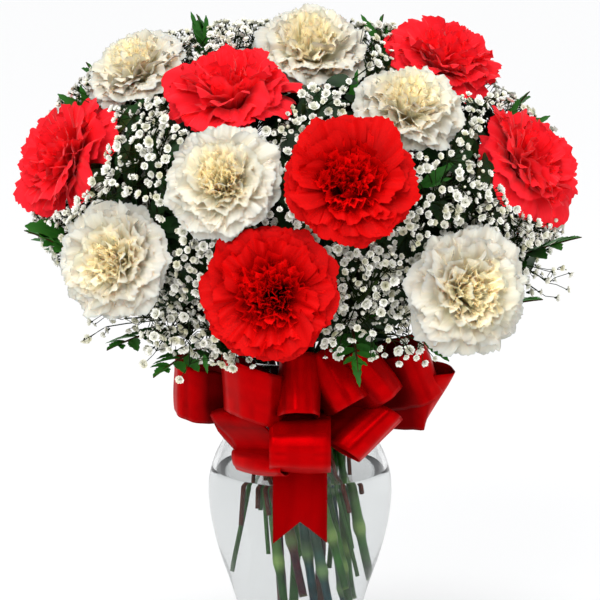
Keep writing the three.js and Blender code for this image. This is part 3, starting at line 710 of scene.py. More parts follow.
@dataclass(frozen=True)
class PetalRow:
    """One whorl of petals, with lengths as shares of the bloom's radius and angles in degrees.

    `lean` is how far a petal has turned out from the axis at its claw and at its rim, `loose` is how
    irregular the whorl is, `heart` is how much it takes on of the heart's own colour, and `stand` is
    how far from the axis its claws are.
    """

    count: int
    lean: tuple[float, float]
    length: float
    width: float
    ruffle: float
    waves: float
    fold: float
    loose: float = 1.0
    heart: float = 0.0
    stand: float = CLAW_STAND


# Ruffled all over, with a small heart of tight folds.
RUFFLED = (
    PetalRow(7, (32, 114), 1.12, 0.50, 0.055, 2.2, 0.00, 1.0),
    PetalRow(8, (28, 102), 1.12, 0.50, 0.075, 2.6, 0.02, 1.2),
    PetalRow(8, (24, 90), 1.06, 0.46, 0.090, 2.8, 0.03, 1.4),
    PetalRow(8, (20, 76), 1.04, 0.44, 0.085, 2.6, 0.05, 1.6, 0.15),
    PetalRow(7, (14, 60), 1.01, 0.42, 0.090, 2.4, 0.06, 1.8, 0.3),
    PetalRow(7, (10, 44), 0.99, 0.37, 0.090, 2.4, 0.08, 1.8, 0.55),
    PetalRow(10, (4, 26), 0.96, 0.24, 0.080, 3.2, 0.10, 1.8, 0.85, 0.14),
    PetalRow(8, (0, 14), 1.00, 0.21, 0.075, 3.2, 0.10, 1.8, 1.0, 0.06),
)
# Broad outer petals round a wide heart of small upright ones, with deep gaps between them.
FULL_FACED = (
    PetalRow(7, (34, 110), 1.10, 0.58, 0.040, 2.4, 0.00, 0.8),
    PetalRow(8, (32, 101), 1.08, 0.54, 0.050, 2.6, 0.00, 0.9),
    PetalRow(8, (30, 93), 1.04, 0.50, 0.055, 2.8, 0.01, 1.1),
    PetalRow(8, (28, 84), 0.97, 0.42, 0.065, 2.8, 0.03, 1.3, 0.1),
    PetalRow(12, (4, 40), 0.66, 0.25, 0.085, 2.8, 0.06, 1.6, 0.5, 0.34),
    PetalRow(11, (0, 26), 0.70, 0.22, 0.085, 2.8, 0.08, 1.8, 0.8, 0.26),
    PetalRow(8, (0, 18), 0.72, 0.20, 0.080, 2.6, 0.10, 2.0, 1.0, 0.16),
    PetalRow(5, (0, 12), 0.72, 0.18, 0.075, 2.6, 0.10, 2.0, 1.0, 0.06),
)
# Seen from the side: long outer petals that droop, and a loose fan above them.
DROOPING = (
    PetalRow(6, (34, 124), 1.12, 0.50, 0.055, 1.8, 0.00, 1.6),
    PetalRow(7, (30, 106), 1.08, 0.52, 0.060, 2.0, 0.00, 1.6),
    PetalRow(7, (26, 88), 1.05, 0.48, 0.075, 2.2, 0.02, 1.8),
    PetalRow(8, (20, 68), 1.02, 0.44, 0.085, 2.2, 0.04, 1.8, 0.1),
    PetalRow(7, (12, 48), 0.98, 0.38, 0.095, 2.4, 0.06, 2.2, 0.2),
    PetalRow(7, (6, 30), 0.94, 0.32, 0.095, 2.4, 0.08, 2.2, 0.4),
    PetalRow(5, (2, 16), 0.90, 0.26, 0.090, 2.4, 0.10, 2.0, 0.6, 0.09),
)
HABIT = {Tint.SCARLET: DROOPING, Tint.DEEP_RED: FULL_FACED, Tint.WHITE: RUFFLED}

# How often each of a ruffle's three waves comes for one of the first, and its share of their height
RUFFLE_WAVES = ((1.0, 0.62), (1.83, 0.3), (3.3, 0.12))
# How far the leaves that wrap a stem reach above its joint, and how much they thicken it
WRAP_HEIGHTS = (0, 3, 26, 30)
WRAP_THICKNESS = (0, 0.5, 0.35, 0)

# The calyx's heights and radii, as shares of its length and of its radius
CALYX_PROFILE = (
    (0.0, 0.34),
    (0.06, 0.6),
    (0.16, 0.74),
    (0.4, 0.86),
    (0.7, 0.96),
    (0.9, 1.07),
    (1.0, 1.14),
    (1.1, 1.2),
)
CALYX_SIDES = 40
CALYX_TEETH = 5
CALYX_RIBS = 20


@dataclass
class Carnation:
    """A carnation: a bloom of ruffled petals, a toothed calyx and a jointed stem.

    Its petals' claw is a share of their width, and their teeth, scallops and creases are shares of
    the bloom's radius, as is how far the calyx's mouth lies below the bloom's middle. A petal has a
    grid of `across` by `along` points.
    """

    name: str
    at: Triple
    faces: tuple[float, float]
    radius: float
    tint: Tint
    seed: int
    across: int = 27
    along: int = 8
    claw: float = 0.14
    tooth: float = 0.026
    scallop: float = 0.035
    crease: float = 0.011
    tilt_spread: float = 6.0
    length_spread: float = 0.035
    turn_spread: float = 0.14
    heart_tone: float = 0.85
    mouth_depth: float = 0.4
    first_joint: float = 34.0
    internode: float = 62.0
    joint_swell: float = 1.1
    joint_length: float = 4.2
    stem_sides: int = 14

    @property
    def facing(self) -> np.ndarray:
        """The way that the bloom faces."""
        return direction(*self.faces)

    @property
    def mouth(self) -> np.ndarray:
        """The middle of the calyx's mouth."""
        return np.array(self.at) - self.mouth_depth * self.radius * self.facing

    def plant(self) -> Plant:
        """Returns the stem that carries the bloom."""
        head = self.mouth - self.facing * (CALYX_LENGTH + GAP)
        return Plant(self.name, head, self.facing, CARNATION_STEM, CARNATION_FEET)

    def petal(self, row: PetalRow, azimuth: float, random: Generator) -> np.ndarray:
        """Shapes one petal.

        Args:
            row: the whorl that it is in.
            azimuth: its direction round the axis, in radians.
            random: source of its irregularity.

        Returns:
            Its grid of points in the bloom's frame, for a bloom of radius 1.
        """
        loose = row.loose
        columns = np.linspace(-1, 1, self.across)
        u, v = np.meshgrid(columns, np.linspace(0, 1, self.along) ** 0.85)
        low, high = (math.radians(angle) for angle in row.lean)
        high += math.radians(random.normal(0, self.tilt_spread * loose))
        length = row.length * float(np.clip(random.normal(1.0, self.length_spread * loose), 0.88, 1.08))
        # Rounded rim with fine teeth, and a few wider scallops.
        odd = np.arange(self.across) % 2 == 1
        teeth = np.where(odd, self.tooth, 0.0) * random.uniform(0.0, 1.4, self.across)
        places = np.linspace(0, 1, self.across)
        slow = self.scallop * np.sin(places * random.uniform(7, 12) + random.uniform(0, 6))
        slow += 0.015 * np.sin(places * random.uniform(17, 26) + random.uniform(0, 6))
        rim = 1 - 0.42 * row.width * np.abs(columns) ** 2.4 - teeth + slow
        reach = v * (1 + (rim - 1)[None, :] * v**2)
        # The petal's middle line leans out more and more on its way to the rim.
        steps = np.linspace(0, 1.15, 60)
        leaning = low + (high - low) * steps**1.25
        shares = np.array([np.sin(leaning[:-1]), np.cos(leaning[:-1])]) * (steps[1] - steps[0])
        out, rise = np.pad(np.cumsum(shares, axis=1), ((0, 0), (1, 0)))
        radial = row.stand + length * np.interp(reach, steps, out)
        height = length * np.interp(reach, steps, rise)
        lean = np.interp(reach, steps, leaning)
        side = u * row.width * (self.claw + (1 - self.claw) * np.sin(v * math.pi / 2) ** 1.2)
        # Ruffles, which grow towards the rim.
        phase = random.uniform(0, 2 * math.pi, 3)
        waves = row.waves * random.uniform(0.8, 1.2)
        wave = sum(
            np.sin(waves * often * math.pi * u + start) * height
            for (often, height), start in zip(RUFFLE_WAVES, phase)
        )
        lift = row.ruffle * wave * v**1.9 * random.uniform(0.8, 1.25)
        # Soft creases run from the claw to the rim.
        crease = np.sin(u * random.uniform(7, 11) + phase[1])
        crease += 0.6 * np.sin(u * random.uniform(14, 19) + phase[2])
        lift += self.crease * crease * np.sin(np.clip(v * 1.15, 0, 1) * math.pi / 2)
        lift += row.fold * np.abs(u) ** 1.3 * v * random.uniform(-0.2, 1.2)
        # The wide fan of a petal wraps round the axis where it is near it.
        lift += 0.5 * side**2 / np.maximum(radial + 0.25, 0.3) * np.cos(lean)
        roll = random.normal(0, 0.13 * loose) + 0.25 * loose * random.normal(0, 0.5) * v
        side, lift = side * np.cos(roll) - lift * np.sin(roll), side * np.sin(roll) + lift * np.cos(roll)
        outward = radial - lift * np.cos(lean)
        upward = height + lift * np.sin(lean)
        # Petals that stand off the axis are turned every way.
        yaw = random.normal(0, 2.6 * loose) * (row.stand - CLAW_STAND)
        out_of = outward - row.stand
        outward = row.stand + out_of * math.cos(yaw) - side * math.sin(yaw)
        side = out_of * math.sin(yaw) + side * math.cos(yaw)
        return set_round(outward, side, upward, azimuth)

    def bloom(self, finish: Material) -> None:
        """Makes the bloom's petals, whorl by whorl.

        Args:
            finish: the petals' material.
        """
        random = default_rng(self.seed)
        work = Patchwork()
        frame = upright_frame(self.facing)
        turn = random.uniform(0, 6)
        for row in HABIT[self.tint]:
            turn += math.pi / row.count + random.uniform(-0.1, 0.1)
            for k in range(row.count):
                stray = random.uniform(-self.turn_spread, self.turn_spread) * row.loose
                azimuth = turn + 2 * math.pi * (k + stray) / row.count
                points = self.petal(row, azimuth, random) * self.radius
                tone = self.heart_tone * row.heart + float(random.uniform(0, 0.15))
                work.sheet(points @ frame + self.mouth, tone)
        slot = "petal_white" if self.tint is Tint.WHITE else "petal_red"
        work.make(f"petals_{self.name}", [finish], slot, f"bloom_{self.name}")

    def stem(self, plant: Plant, finishes: Sequence[Material]) -> None:
        """Makes the stem with its swollen joints, and the calyx.

        Args:
            plant: the stem, set in the neck.
            finishes: the material of the stem and of the calyx.
        """
        work = Patchwork()
        low = plant.foot_height()
        joint = min(low + self.first_joint, WATER_TOP - 12)
        below, above = CARNATION_STEPS
        path = np.array([*plant.lower_path(below), *plant.upper_path(above)])
        upper = joint + self.internode
        joints = [joint, upper] if upper < STRAIGHT_TOP - 8 else [joint]
        radii, tones = [], []
        for point in path:
            near = max(math.exp(-(((point[2] - z) / self.joint_length) ** 2)) for z in joints)
            # A pair of leaves wraps the stem above each joint.
            wrap = max(float(np.interp(point[2] - z, WRAP_HEIGHTS, WRAP_THICKNESS)) for z in joints)
            radii.append(CARNATION_STEM + self.joint_swell * near + wrap * (1 - near))
            # The joints and the cut foot are pale.
            tones.append(0.9 * near + 0.35 * wrap + (0.5 if point[2] < low + 1.5 else 0.0))
        work.tube(path, radii, self.stem_sides, tones)
        self.calyx(plant, work)
        work.make(f"stem_of_{self.name}", finishes, "stem", f"stem_{self.name}")

    def calyx(self, plant: Plant, work: Patchwork) -> None:
        """Adds the calyx: a ribbed green cup with five pointed teeth, and scales at its base.

        Args:
            plant: the stem that it ends.
            work: the patchwork that it goes into.
        """
        turn = full_turn(CALYX_SIDES)
        tooth = np.abs(((turn / (2 * math.pi) * CALYX_TEETH) % 1) - 0.5) * 2
        ribs = 1 + 0.015 * np.cos(turn * CALYX_RIBS)
        ring = np.stack([np.cos(turn) * ribs, np.sin(turn) * ribs, np.zeros(CALYX_SIDES)], axis=-1)
        frame = upright_frame(plant.facing)
        rings = []
        for share, size in CALYX_PROFILE:
            up = CALYX_LENGTH * np.minimum(share, 0.86 + 0.24 * tooth)
            rings.append((ring * CALYX_RADIUS * size + np.outer(up, UP)) @ frame + plant.head)
        work.sheet(np.array(rings), 0.15, 1, joined=True)


CARNATIONS = (
    Carnation("red_low", (-16, -138, 289), (-5, 14), 38, Tint.DEEP_RED, 11),
    Carnation("red_middle", (27, -134, 350), (6, 20), 36, Tint.DEEP_RED, 12),
    Carnation("red_top_left", (-39, -72, 391), (-16, 62), 37, Tint.SCARLET, 13),
    Carnation("red_top_right", (85, -12, 405), (36, 62), 34, Tint.SCARLET, 14),
    Carnation("red_left", (-134, -42, 352), (-61, 33), 37, Tint.SCARLET, 15),
    Carnation("red_right", (130, -48, 349), (54, 34), 36, Tint.SCARLET, 16),
    Carnation("white_middle", (-42, -120, 347), (-14, 26), 33.5, Tint.WHITE, 17),
    Carnation("white_left", (-102, -100, 301), (-26, 14), 34, Tint.WHITE, 18),
    Carnation("white_right", (92, -112, 285), (22, 6), 37, Tint.WHITE, 19),
    Carnation("white_top", (6, -8, 410), (5, 54), 34, Tint.WHITE, 20),
    Carnation("white_top_right", (60, -84, 383), (16, 54), 32, Tint.WHITE, 21),
    Carnation("white_top_left", (-94, -22, 399), (-42, 54), 31, Tint.WHITE, 22),
)

# The tip of each spray of baby's breath
SPRAYS = (
    (-92, -84, 366),
    (-52, -22, 425),
    (2, -98, 388),
    (46, -26, 424),
    (80, -102, 345),
    (42, -124, 293),
    (-76, -98, 279),
    (134, -70, 306),
    (-146, -4, 374),
    (140, 20, 368),
    (-92, 62, 366),
    (-4, 62, 404),
    (88, 66, 368),
    (-62, 108, 296),
    (58, 110, 300),
)

# The base and tip of each frond of fern, and half its width as a share of its length
FRONDS = (
    ((-84, -28, 262), (-158, -60, 312), 0.38),
    ((-66, -34, 250), (-110, -80, 246), 0.34),
    ((-44, -58, 247), (-82, -108, 236), 0.30),
    ((29, -84, 262), (32, -130, 244), 0.30),
    ((88, -21, 268), (163, -46, 306), 0.38),
    ((74, -42, 248), (138, -78, 275), 0.36),
    ((-94, 34, 322), (-130, 44, 400), 0.40),
    ((-36, 26, 350), (-62, 28, 430), 0.40),
    ((38, 24, 350), (50, 28, 430), 0.38),
    ((92, 34, 314), (138, 24, 384), 0.40),
    ((-72, 44, 258), (-136, 86, 268), 0.42),
    ((-16, 66, 262), (-22, 146, 276), 0.42),
    ((64, 50, 258), (122, 98, 268), 0.42),
    ((34, 62, 318), (52, 122, 366), 0.42),
)

# Leaflets that stand out past the florets: base, point, and width as a share of the length
SPRIGS = (
    ((-121, -10, 368), (-129, -12, 391), 0.28),
    ((-125, -12, 374), (-142, -14, 386), 0.34),
    ((-58, 18, 411), (-65, 19, 432), 0.24),
    ((-55, 18, 409), (-56, 18, 430), 0.26),
    ((46, 8, 415), (36, 9, 431), 0.26),
    ((122, -2, 362), (129, -2, 382), 0.3),
    ((130, 0, 362), (148, -2, 372), 0.3),
    ((29, -44, 383), (33, -44, 403), 0.24),
    ((66, -96, 341), (86, -97, 356), 0.26),
    ((68, -97, 342), (84, -98, 347), 0.26),
    ((70, -86, 254), (84, -97, 243), 0.28),
    ((-54, -97, 247), (-52, -101, 237), 0.3),
    ((-136, -48, 309), (-158, -56, 314), 0.5),
    ((-137, -48, 308), (-148, -54, 302), 0.6),
    ((30, -116, 252), (33, -124, 234), 0.28),
)

# The first fronds stand at the front, where the outer share of each is kept in sight. The rooms are
# how far florets stay from a sprig and from a frond.
FRONT_FRONDS = 6
FROND_SHOWN = 0.38
SPRIG_ROOM = 3.2
FROND_ROOM = 7.0

# How wide a bloom is at heights above its calyx, both as shares of its radius: it widens from its
# calyx to its rim, and rounds in again to its face.
BLOOM_HEIGHTS = (-0.1, 0.1, 0.35, 0.75, 1.05)
BLOOM_WIDTHS = (0.25, 0.75, 1.0, 0.8, 0.3)

# Count, length, tilt from the axis in degrees and half width of the petals in a floret's whorls,
# and radius and height of a bud's rings, for a floret of radius 1
OPEN_WHORLS = ((5, 1.0, 66, 0.56), (4, 0.8, 42, 0.48), (3, 0.58, 20, 0.4))
FAR_WHORLS = ((5, 1.05, 68, 0.6), (4, 0.85, 42, 0.52), (2, 0.62, 18, 0.46))
BUD_RINGS = ((0.34, 0.0), (0.44, 0.25), (0.34, 0.55), (0.05, 0.72))

# Seeds of the scattered places, of the sprays, of the fern, and of the bow
SCATTER_SEED, CLUMP_SEED, SPRAY_SEED, FERN_SEED, BOW_SEED = 5, 3, 6, 9, 3

# Most stems are green, and some are bluish or purple.
STEM_LOOKS = ("stem", "teal_stem", "plum_stem", "stem")


@dataclass
class Dome:
    """The rounded outline of the whole arrangement, and what is clear in it."""

    centre: Triple = (0, -2, 322)
    half: tuple[float, float] = (150, 126)
    up: float = 101
    down: float = 84
    squareness: tuple[float, float] = (2.0, 2.5)

    def stretch(self, away: np.ndarray) -> tuple[np.ndarray, np.ndarray]:
        """Returns the dome's half sizes and its squareness, each way from its centre.

        Args:
            away: vectors from the centre, one row each.

        Returns:
            The half sizes, one row each, and the squareness, which is less below the centre.
        """
        half = np.empty((len(away), 3))
        half[:, :2] = self.half
        half[:, 2] = np.where(away[:, 2] > 0, self.up, self.down)
        low, high = self.squareness
        level = away[:, 2] / np.linalg.norm(away, axis=1)
        return half, np.interp(level, [-0.3, 0.1], [low, high])

    def surface(self, way: np.ndarray, depth: np.ndarray) -> np.ndarray:
        """Finds points on the dome.

        Args:
            way: unit vectors from its centre, one row each.
            depth: how far out each point is, with 1 on the dome itself.

        Returns:
            The points, one row each.
        """
        half, square = self.stretch(way)
        total = (np.abs(way) ** square[:, None]).sum(axis=1)
        return way * half * (depth / total ** (1 / square))[:, None] + np.array(self.centre)

    def depth(self, points: np.ndarray) -> np.ndarray:
        """Returns how far out points are, as shares of the way to the dome."""
        away = points - np.array(self.centre)
        half, square = self.stretch(away)
        return (np.abs(away / half) ** square[:, None]).sum(axis=1) ** (1 / square)

    @staticmethod
    def clear_of_blooms(points: np.ndarray, margin: float) -> np.ndarray:
        """Tells which points are outside every bloom and calyx, and not in front of a bloom's face.

        Args:
            points: the points, one row each.
            margin: how far outside they have to be.

        Returns:
            True for each point that is clear.
        """
        clear = np.ones(len(points), dtype=bool)
        for flower in CARNATIONS:
            away = points - flower.mouth
            height = away @ flower.facing
            off = np.linalg.norm(away - np.outer(height, flower.facing), axis=1)
            size = flower.radius
            wide = np.interp(height / size, BLOOM_HEIGHTS, BLOOM_WIDTHS) * size
            inside = (height > -2) & (height < size * 1.05 + margin) & (off < wide + margin)
            before = (height >= size * 0.4) & (height < size * 1.9) & (off < size * 0.84)
            cup = (height > -CALYX_LENGTH - 2) & (height <= 2) & (off < CALYX_RADIUS + margin)
            clear &= ~(inside | before | cup)
        return clear

    @staticmethod
    def before_blooms(points: np.ndarray, share: float) -> np.ndarray:
        """Tells which points stand between a bloom and someone who looks at the front.

        Args:
            points: the points, one row each.
            share: how much of each bloom has to stay in sight, as a share of its radius.

        Returns:
            True for each point that would hide a bloom.
        """
        level = np.cross(UP, FRONT)
        plane = np.array([unit(level), unit(np.cross(FRONT, level))])
        hiding = np.zeros(len(points), dtype=bool)
        for flower in CARNATIONS:
            away = points - flower.mouth - 0.45 * flower.radius * flower.facing
            along = np.outer(flower.facing, flower.facing)
            # The bloom is taken as a flattened ball, half as deep as it is wide.
            ball = (np.eye(3) - 0.75 * along) * (share * flower.radius) ** 2
            flat = away @ plane.T
            inside = np.einsum("ij,jk,ik->i", flat, np.linalg.inv(plane @ ball @ plane.T), flat) < 1
            hiding |= inside & (away @ FRONT > 0)
        return hiding

    @staticmethod
    def before_leaves(points: np.ndarray) -> np.ndarray:
        """Tells which points would hide the leaf tips that show at the front.

        Args:
            points: the points, one row each.

        Returns:
            True for each point in front of a leaf tip or right beside it.
        """
        shown = [(np.array(base), np.array(tip), SPRIG_ROOM) for base, tip, _ in SPRIGS]
        for base, tip, _ in FRONDS[:FRONT_FRONDS]:
            base, tip = np.array(base, dtype=float), np.array(tip, dtype=float)
            shown.append((base + (1 - FROND_SHOWN) * (tip - base), tip, FROND_ROOM))
        hiding = np.zeros(len(points), dtype=bool)
        flat = points - np.outer(points @ FRONT, FRONT)
        for base, tip, room in shown:
            start, end = base - (base @ FRONT) * FRONT, tip - (tip @ FRONT) * FRONT
            along = end - start
            share = np.clip((flat - start) @ along / (along @ along), 0, 1)
            gap = np.linalg.norm(flat - start - share[:, None] * along, axis=1)
            hiding |= (gap < room) & (points @ FRONT > min(base @ FRONT, tip @ FRONT) - room)
        return hiding


def thin_out(points: np.ndarray, apart: float) -> np.ndarray:
    """Drops points that are too near an earlier one.

    Args:
        points: the points, one row each.
        apart: the least distance.

    Returns:
        The numbers of the points that stay.
    """
    cells: dict[tuple[int, int, int], list[int]] = {}
    kept = []
    for i, point in enumerate(points):
        x, y, z = (int(c // apart) for c in point)
        around = [(x + a, y + b, z + c) for a in (-1, 0, 1) for b in (-1, 0, 1) for c in (-1, 0, 1)]
        near = [j for cell in around for j in cells.get(cell, ())]
        if near and np.min(np.linalg.norm(points[near] - point, axis=1)) < apart:
            continue
        cells.setdefault((x, y, z), []).append(i)
        kept.append(i)
    return np.array(kept)


def even_ways(count: int, lowest: float) -> np.ndarray:
    """Returns unit vectors spread evenly over a sphere, down to a lowest level."""
    i = np.arange(count)
    z = 1 - (i + 0.5) * ((1 - lowest) / count)
    ring = np.sqrt(1 - z * z)
    turn = i * math.pi * (3 - math.sqrt(5))
    return np.stack([ring * np.cos(turn), ring * np.sin(turn), z], axis=-1)


def crowding(points: np.ndarray, size: float, seed: int) -> np.ndarray:
    """Says how crowded each place is, in patches of a size.

    Args:
        points: the places, one row each.
        size: about how wide the patches are.
        seed: seed of the waves that make them.

    Returns:
        A number for each place, about 0 on average and 0.25 in its spread.
    """
    random = default_rng(seed)
    waves = random.normal(0, 1, (8, 3))
    waves *= (math.pi / size) * random.uniform(0.7, 1.4, (8, 1)) / np.linalg.norm(waves, axis=1)[:, None]
    return np.sin(points @ waves.T + random.uniform(0, 2 * math.pi, 8)).mean(axis=1)


@dataclass(frozen=True)
class Drape:
    """A place with sprays beyond the dome's layers: its middle, its half sizes and its florets."""

    middle: Triple
    half: Triple
    count: int


@dataclass(frozen=True)
class Bud:
    """The shape of one floret or bud of radius 1, facing +Z, with the material of each face."""

    points: np.ndarray
    grain: np.ndarray
    faces: np.ndarray
    looks: list[int]


@dataclass
class BabysBreath:
    """All the sprays of baby's breath: forked stalks that end in small double florets and buds.

    The florets stand in the dome's layers, which have a nearer and a farther depth and a count, and
    in the drapes. Those in the drapes and in front of `face` are a little larger or fuller. The
    florets keep `apart` from each other and `off_petals` from the blooms, and leave the share
    `bloom_shown` of each bloom in sight.
    """

    dome: Dome
    floret: float = 2.3
    near_floret: float = 2.45
    apart: float = 4.35
    clump: float = 10.0
    crowded: float = -0.14
    lowest: float = 234.0
    lowest_way: float = -0.74
    off_petals: float = 2.6
    bloom_shown: float = 1.07
    spray_reach: float = 96.0
    shoulder: float = 374.0
    between_forks: float = 12.0
    bud_share: float = 0.13
    face: float = 70.0
    layers: tuple[tuple[float, float, int], ...] = (
        (0.965, 1.05, 26000),
        (0.87, 0.93, 1600),
        (0.79, 0.84, 500),
    )
    drapes: tuple[Drape, ...] = (
        Drape((-66, -90, 259), (30, 26, 22), 180),
        Drape((-4, -84, 372), (16, 10, 20), 50),
        Drape((81, -68, 340), (26, 12, 22), 100),
        Drape((80, -76, 320), (26, 12, 16), 70),
        Drape((14, -46, 398), (30, 22, 12), 80),
        Drape((-94, -46, 362), (30, 22, 38), 200),
        Drape((-82, -64, 360), (12, 9, 26), 36),
        Drape((-108, -76, 254), (17, 14, 8), 18),
        Drape((42, -116, 280), (24, 14, 31), 90),
        Drape((68, -108, 262), (18, 14, 18), 40),
        Drape((-45, -106, 246), (20, 8, 7), 34),
        Drape((26, -113, 254), (17, 8, 9), 26),
        Drape((134, -60, 294), (20, 22, 22), 60),
    )
    stalk: float = 0.45
    pedicel: float = 0.25
    stems: list[Plant] = field(default_factory=list)

    def __post_init__(self) -> None:
        """Lists the sprays' own stems."""
        for i, tip in enumerate(SPRAYS):
            head = np.array(tip, dtype=float)
            facing = unit(head - np.array([0, 0, NECK_HEIGHT]))
            lowest = SPRAY_FEET[i % len(SPRAY_FEET)]
            self.stems.append(Plant(f"baby_breath_{i + 1}", head, facing, SPRAY_STEM, lowest))

    @staticmethod
    def open_floret(seed: int) -> Bud:
        """Shapes one double floret, as it is seen from near by.

        Args:
            seed: seed of its irregularity.

        Returns:
            The floret.
        """
        random = default_rng(seed)
        work = Patchwork()
        for count, reach, tilt, width in OPEN_WHORLS:
            spin = random.uniform(0, 6)
            for k in range(count):
                turn = spin + 2 * math.pi * (k + random.uniform(-0.15, 0.15)) / count
                lean = math.radians(tilt + random.normal(0, 9))
                u, v = np.meshgrid([-1.0, 0.0, 1.0], [0.0, 0.55, 1.0])
                side = u * width * np.interp(v, [0, 0.55, 1], [0.25, 1.0, 0.72])
                length = v * reach * (1 - 0.1 * (1 - np.abs(u)) * (v > 0.9))
                lift = 0.24 * np.abs(u) * v + random.normal(0, 0.06, u.shape) * v
                out = 0.08 + length * math.sin(lean) - lift * math.cos(lean)
                up = 0.15 + length * math.cos(lean) * 0.9 + lift * math.sin(lean)
                work.sheet(set_round(out, side, up, turn), 0.0)
        return BabysBreath.cupped(work, ((0.12, -0.5), (0.34, 0.1)))

    @staticmethod
    def far_floret(seed: int) -> Bud:
        """Shapes one double floret of plain kite-shaped petals, for the crowd of them.

        Args:
            seed: seed of its irregularity.

        Returns:
            The floret.
        """
        random = default_rng(seed)
        work = Patchwork()
        grain = np.array([[0, 0.1, 0], [1, 0.8, 0], [0, 1, 0], [-1, 0.8, 0]], dtype=float)
        for count, reach, tilt, width in FAR_WHORLS:
            spin = random.uniform(0, 6)
            for k in range(count):
                turn = spin + 2 * math.pi * (k + random.uniform(-0.2, 0.2)) / count
                lean = math.radians(tilt + random.normal(0, 16))
                along = reach * random.uniform(0.72, 1.2)
                out = 0.05 + along * math.sin(lean) * np.array([0, 0.72, 1, 0.72])
                up = 0.1 + along * math.cos(lean) * np.array([0, 0.85, 0.9, 0.85]) + [0, 0.1, 0, 0.1]
                side = width * np.array([0, 1, 0, -1])
                work.add(set_round(out, side, up, turn), grain, np.array([[0, 1, 2, 3]]), [0])
        return BabysBreath.cupped(work, ((0.12, -0.5), (0.36, 0.12)))

    @staticmethod
    def closed_bud() -> Bud:
        """Shapes one round bud in its cup."""
        work = Patchwork()
        work.sheet(turned(BUD_RINGS, 6), 0.0, joined=True)
        return BabysBreath.cupped(work, ((0.1, -0.5), (0.36, -0.2), (0.36, 0.1)))

    @staticmethod
    def cupped(work: Patchwork, levels: Sequence[tuple[float, float]]) -> Bud:
        """Adds the green cup under a floret or a bud.

        Args:
            work: its petals so far.
            levels: radius and height of the cup's rings.

        Returns:
            The floret or bud.
        """
        work.sheet(turned(levels, 4), 0.0, 1, joined=True)
        return Bud(np.concatenate(work.points), np.concatenate(work.grain), np.array(work.faces), work.looks)

    def places(self) -> tuple[np.ndarray, np.ndarray]:
        """Scatters the florets through the outer layers of the dome and the drapes.

        Returns:
            Their places, one row each, and their radii.
        """
        random = default_rng(SCATTER_SEED)
        spots, sizes = [], []
        for drape in self.drapes:
            away = random.normal(0, 0.55, (drape.count, 3)).clip(-1, 1)
            spots.append(np.array(drape.middle) + away * np.array(drape.half))
            sizes.append(np.full(drape.count, self.near_floret))
        for near, far, count in self.layers:
            ways = units(even_ways(count, self.lowest_way) + random.normal(0, 0.02, (count, 3)))
            places = self.dome.surface(random.permutation(ways), random.uniform(near, far, count))
            places = places[crowding(places, self.clump, CLUMP_SEED) > self.crowded]
            spots.append(places)
            sizes.append(np.full(len(places), self.floret))
        points, radii = np.concatenate(spots), np.concatenate(sizes)
        clear = self.dome.clear_of_blooms(points, self.off_petals)
        clear &= ~self.dome.before_blooms(points, self.bloom_shown) & ~self.dome.before_leaves(points)
        clear &= (distances(points, SPRAYS).min(axis=1) < self.spray_reach) & (points[:, 2] > self.lowest)
        # The arrangement falls away past its right shoulder.
        clear &= points @ [0.643, 0, 0.766] < self.shoulder
        points, radii = points[clear], radii[clear]
        kept = thin_out(points, self.apart)
        return points[kept], radii[kept]

    def build(self, finishes: Sequence[Material]) -> None:
        """Makes each spray: its stem, its forked stalks and its florets.

        Args:
            finishes: the material of the florets and of the stalks.
        """
        random = default_rng(SPRAY_SEED)
        full = [self.open_floret(seed) for seed in range(6)]
        plain = [self.far_floret(seed) for seed in range(6, 14)]
        bud = self.closed_bud()
        places, radii = self.places()
        owner = distances(places, SPRAYS).argmin(axis=1)
        LOG.info("%d florets", len(places))
        for i, plant in enumerate(self.stems):
            work = Patchwork()
            path = plant.add_thin(work, SPRAY_STEPS)
            own = np.flatnonzero(owner == i)
            self.fork(work, places[own], radii[own], path, random)
            for k in own:
                near = radii[k] > self.floret or float((places[k] - self.dome.centre) @ FRONT) > self.face
                kinds = full if near else plain
                kind = bud if random.uniform() < self.bud_share else kinds[int(random.integers(len(kinds)))]
                self.flower(work, kind, places[k], radii[k], random)
            work.make(f"florets_{i + 1}", finishes, "baby_breath", plant.name)

    def fork(
        self, work: Patchwork, spots: np.ndarray, radii: np.ndarray, path: np.ndarray, random: Generator
    ) -> None:
        """Adds the stalks from a spray's stem to its florets, forked on their way.

        Args:
            work: the patchwork that they go into.
            spots: where the florets are, one row each.
            radii: the florets' radii.
            path: the upper stretch of the spray's stem.
            random: source of their irregularity.
        """
        centre = np.array(self.dome.centre)
        nodes = spots[thin_out(spots, self.between_forks)]
        inward = unit(path[-1] - path[len(path) // 2])
        forks = nodes - np.array([unit(node - centre) for node in nodes]) * self.between_forks
        for fork in forks:
            distance = np.linalg.norm(fork - path, axis=1) + 40 * np.linspace(0, 1, len(path)) ** 3
            start = path[int(np.clip(distance.argmin(), 8, len(path) - 3))]
            bend = (start + fork) / 2 + inward * 0.16 * np.linalg.norm(fork - start)
            work.thread(bowed(start, bend, fork, 5), self.stalk, 1)
        for spot, radius in zip(spots, radii):
            fork = forks[np.linalg.norm(forks - spot, axis=1).argmin()]
            out = unit(spot - centre)
            end = spot - out * self.floret * 0.4
            bend = (fork + end) / 2 + random.normal(0, 1.2, 3) - out * 1.5
            work.thread(bowed(fork, bend, end, 3 if radius > self.floret else 2), self.pedicel, 1)

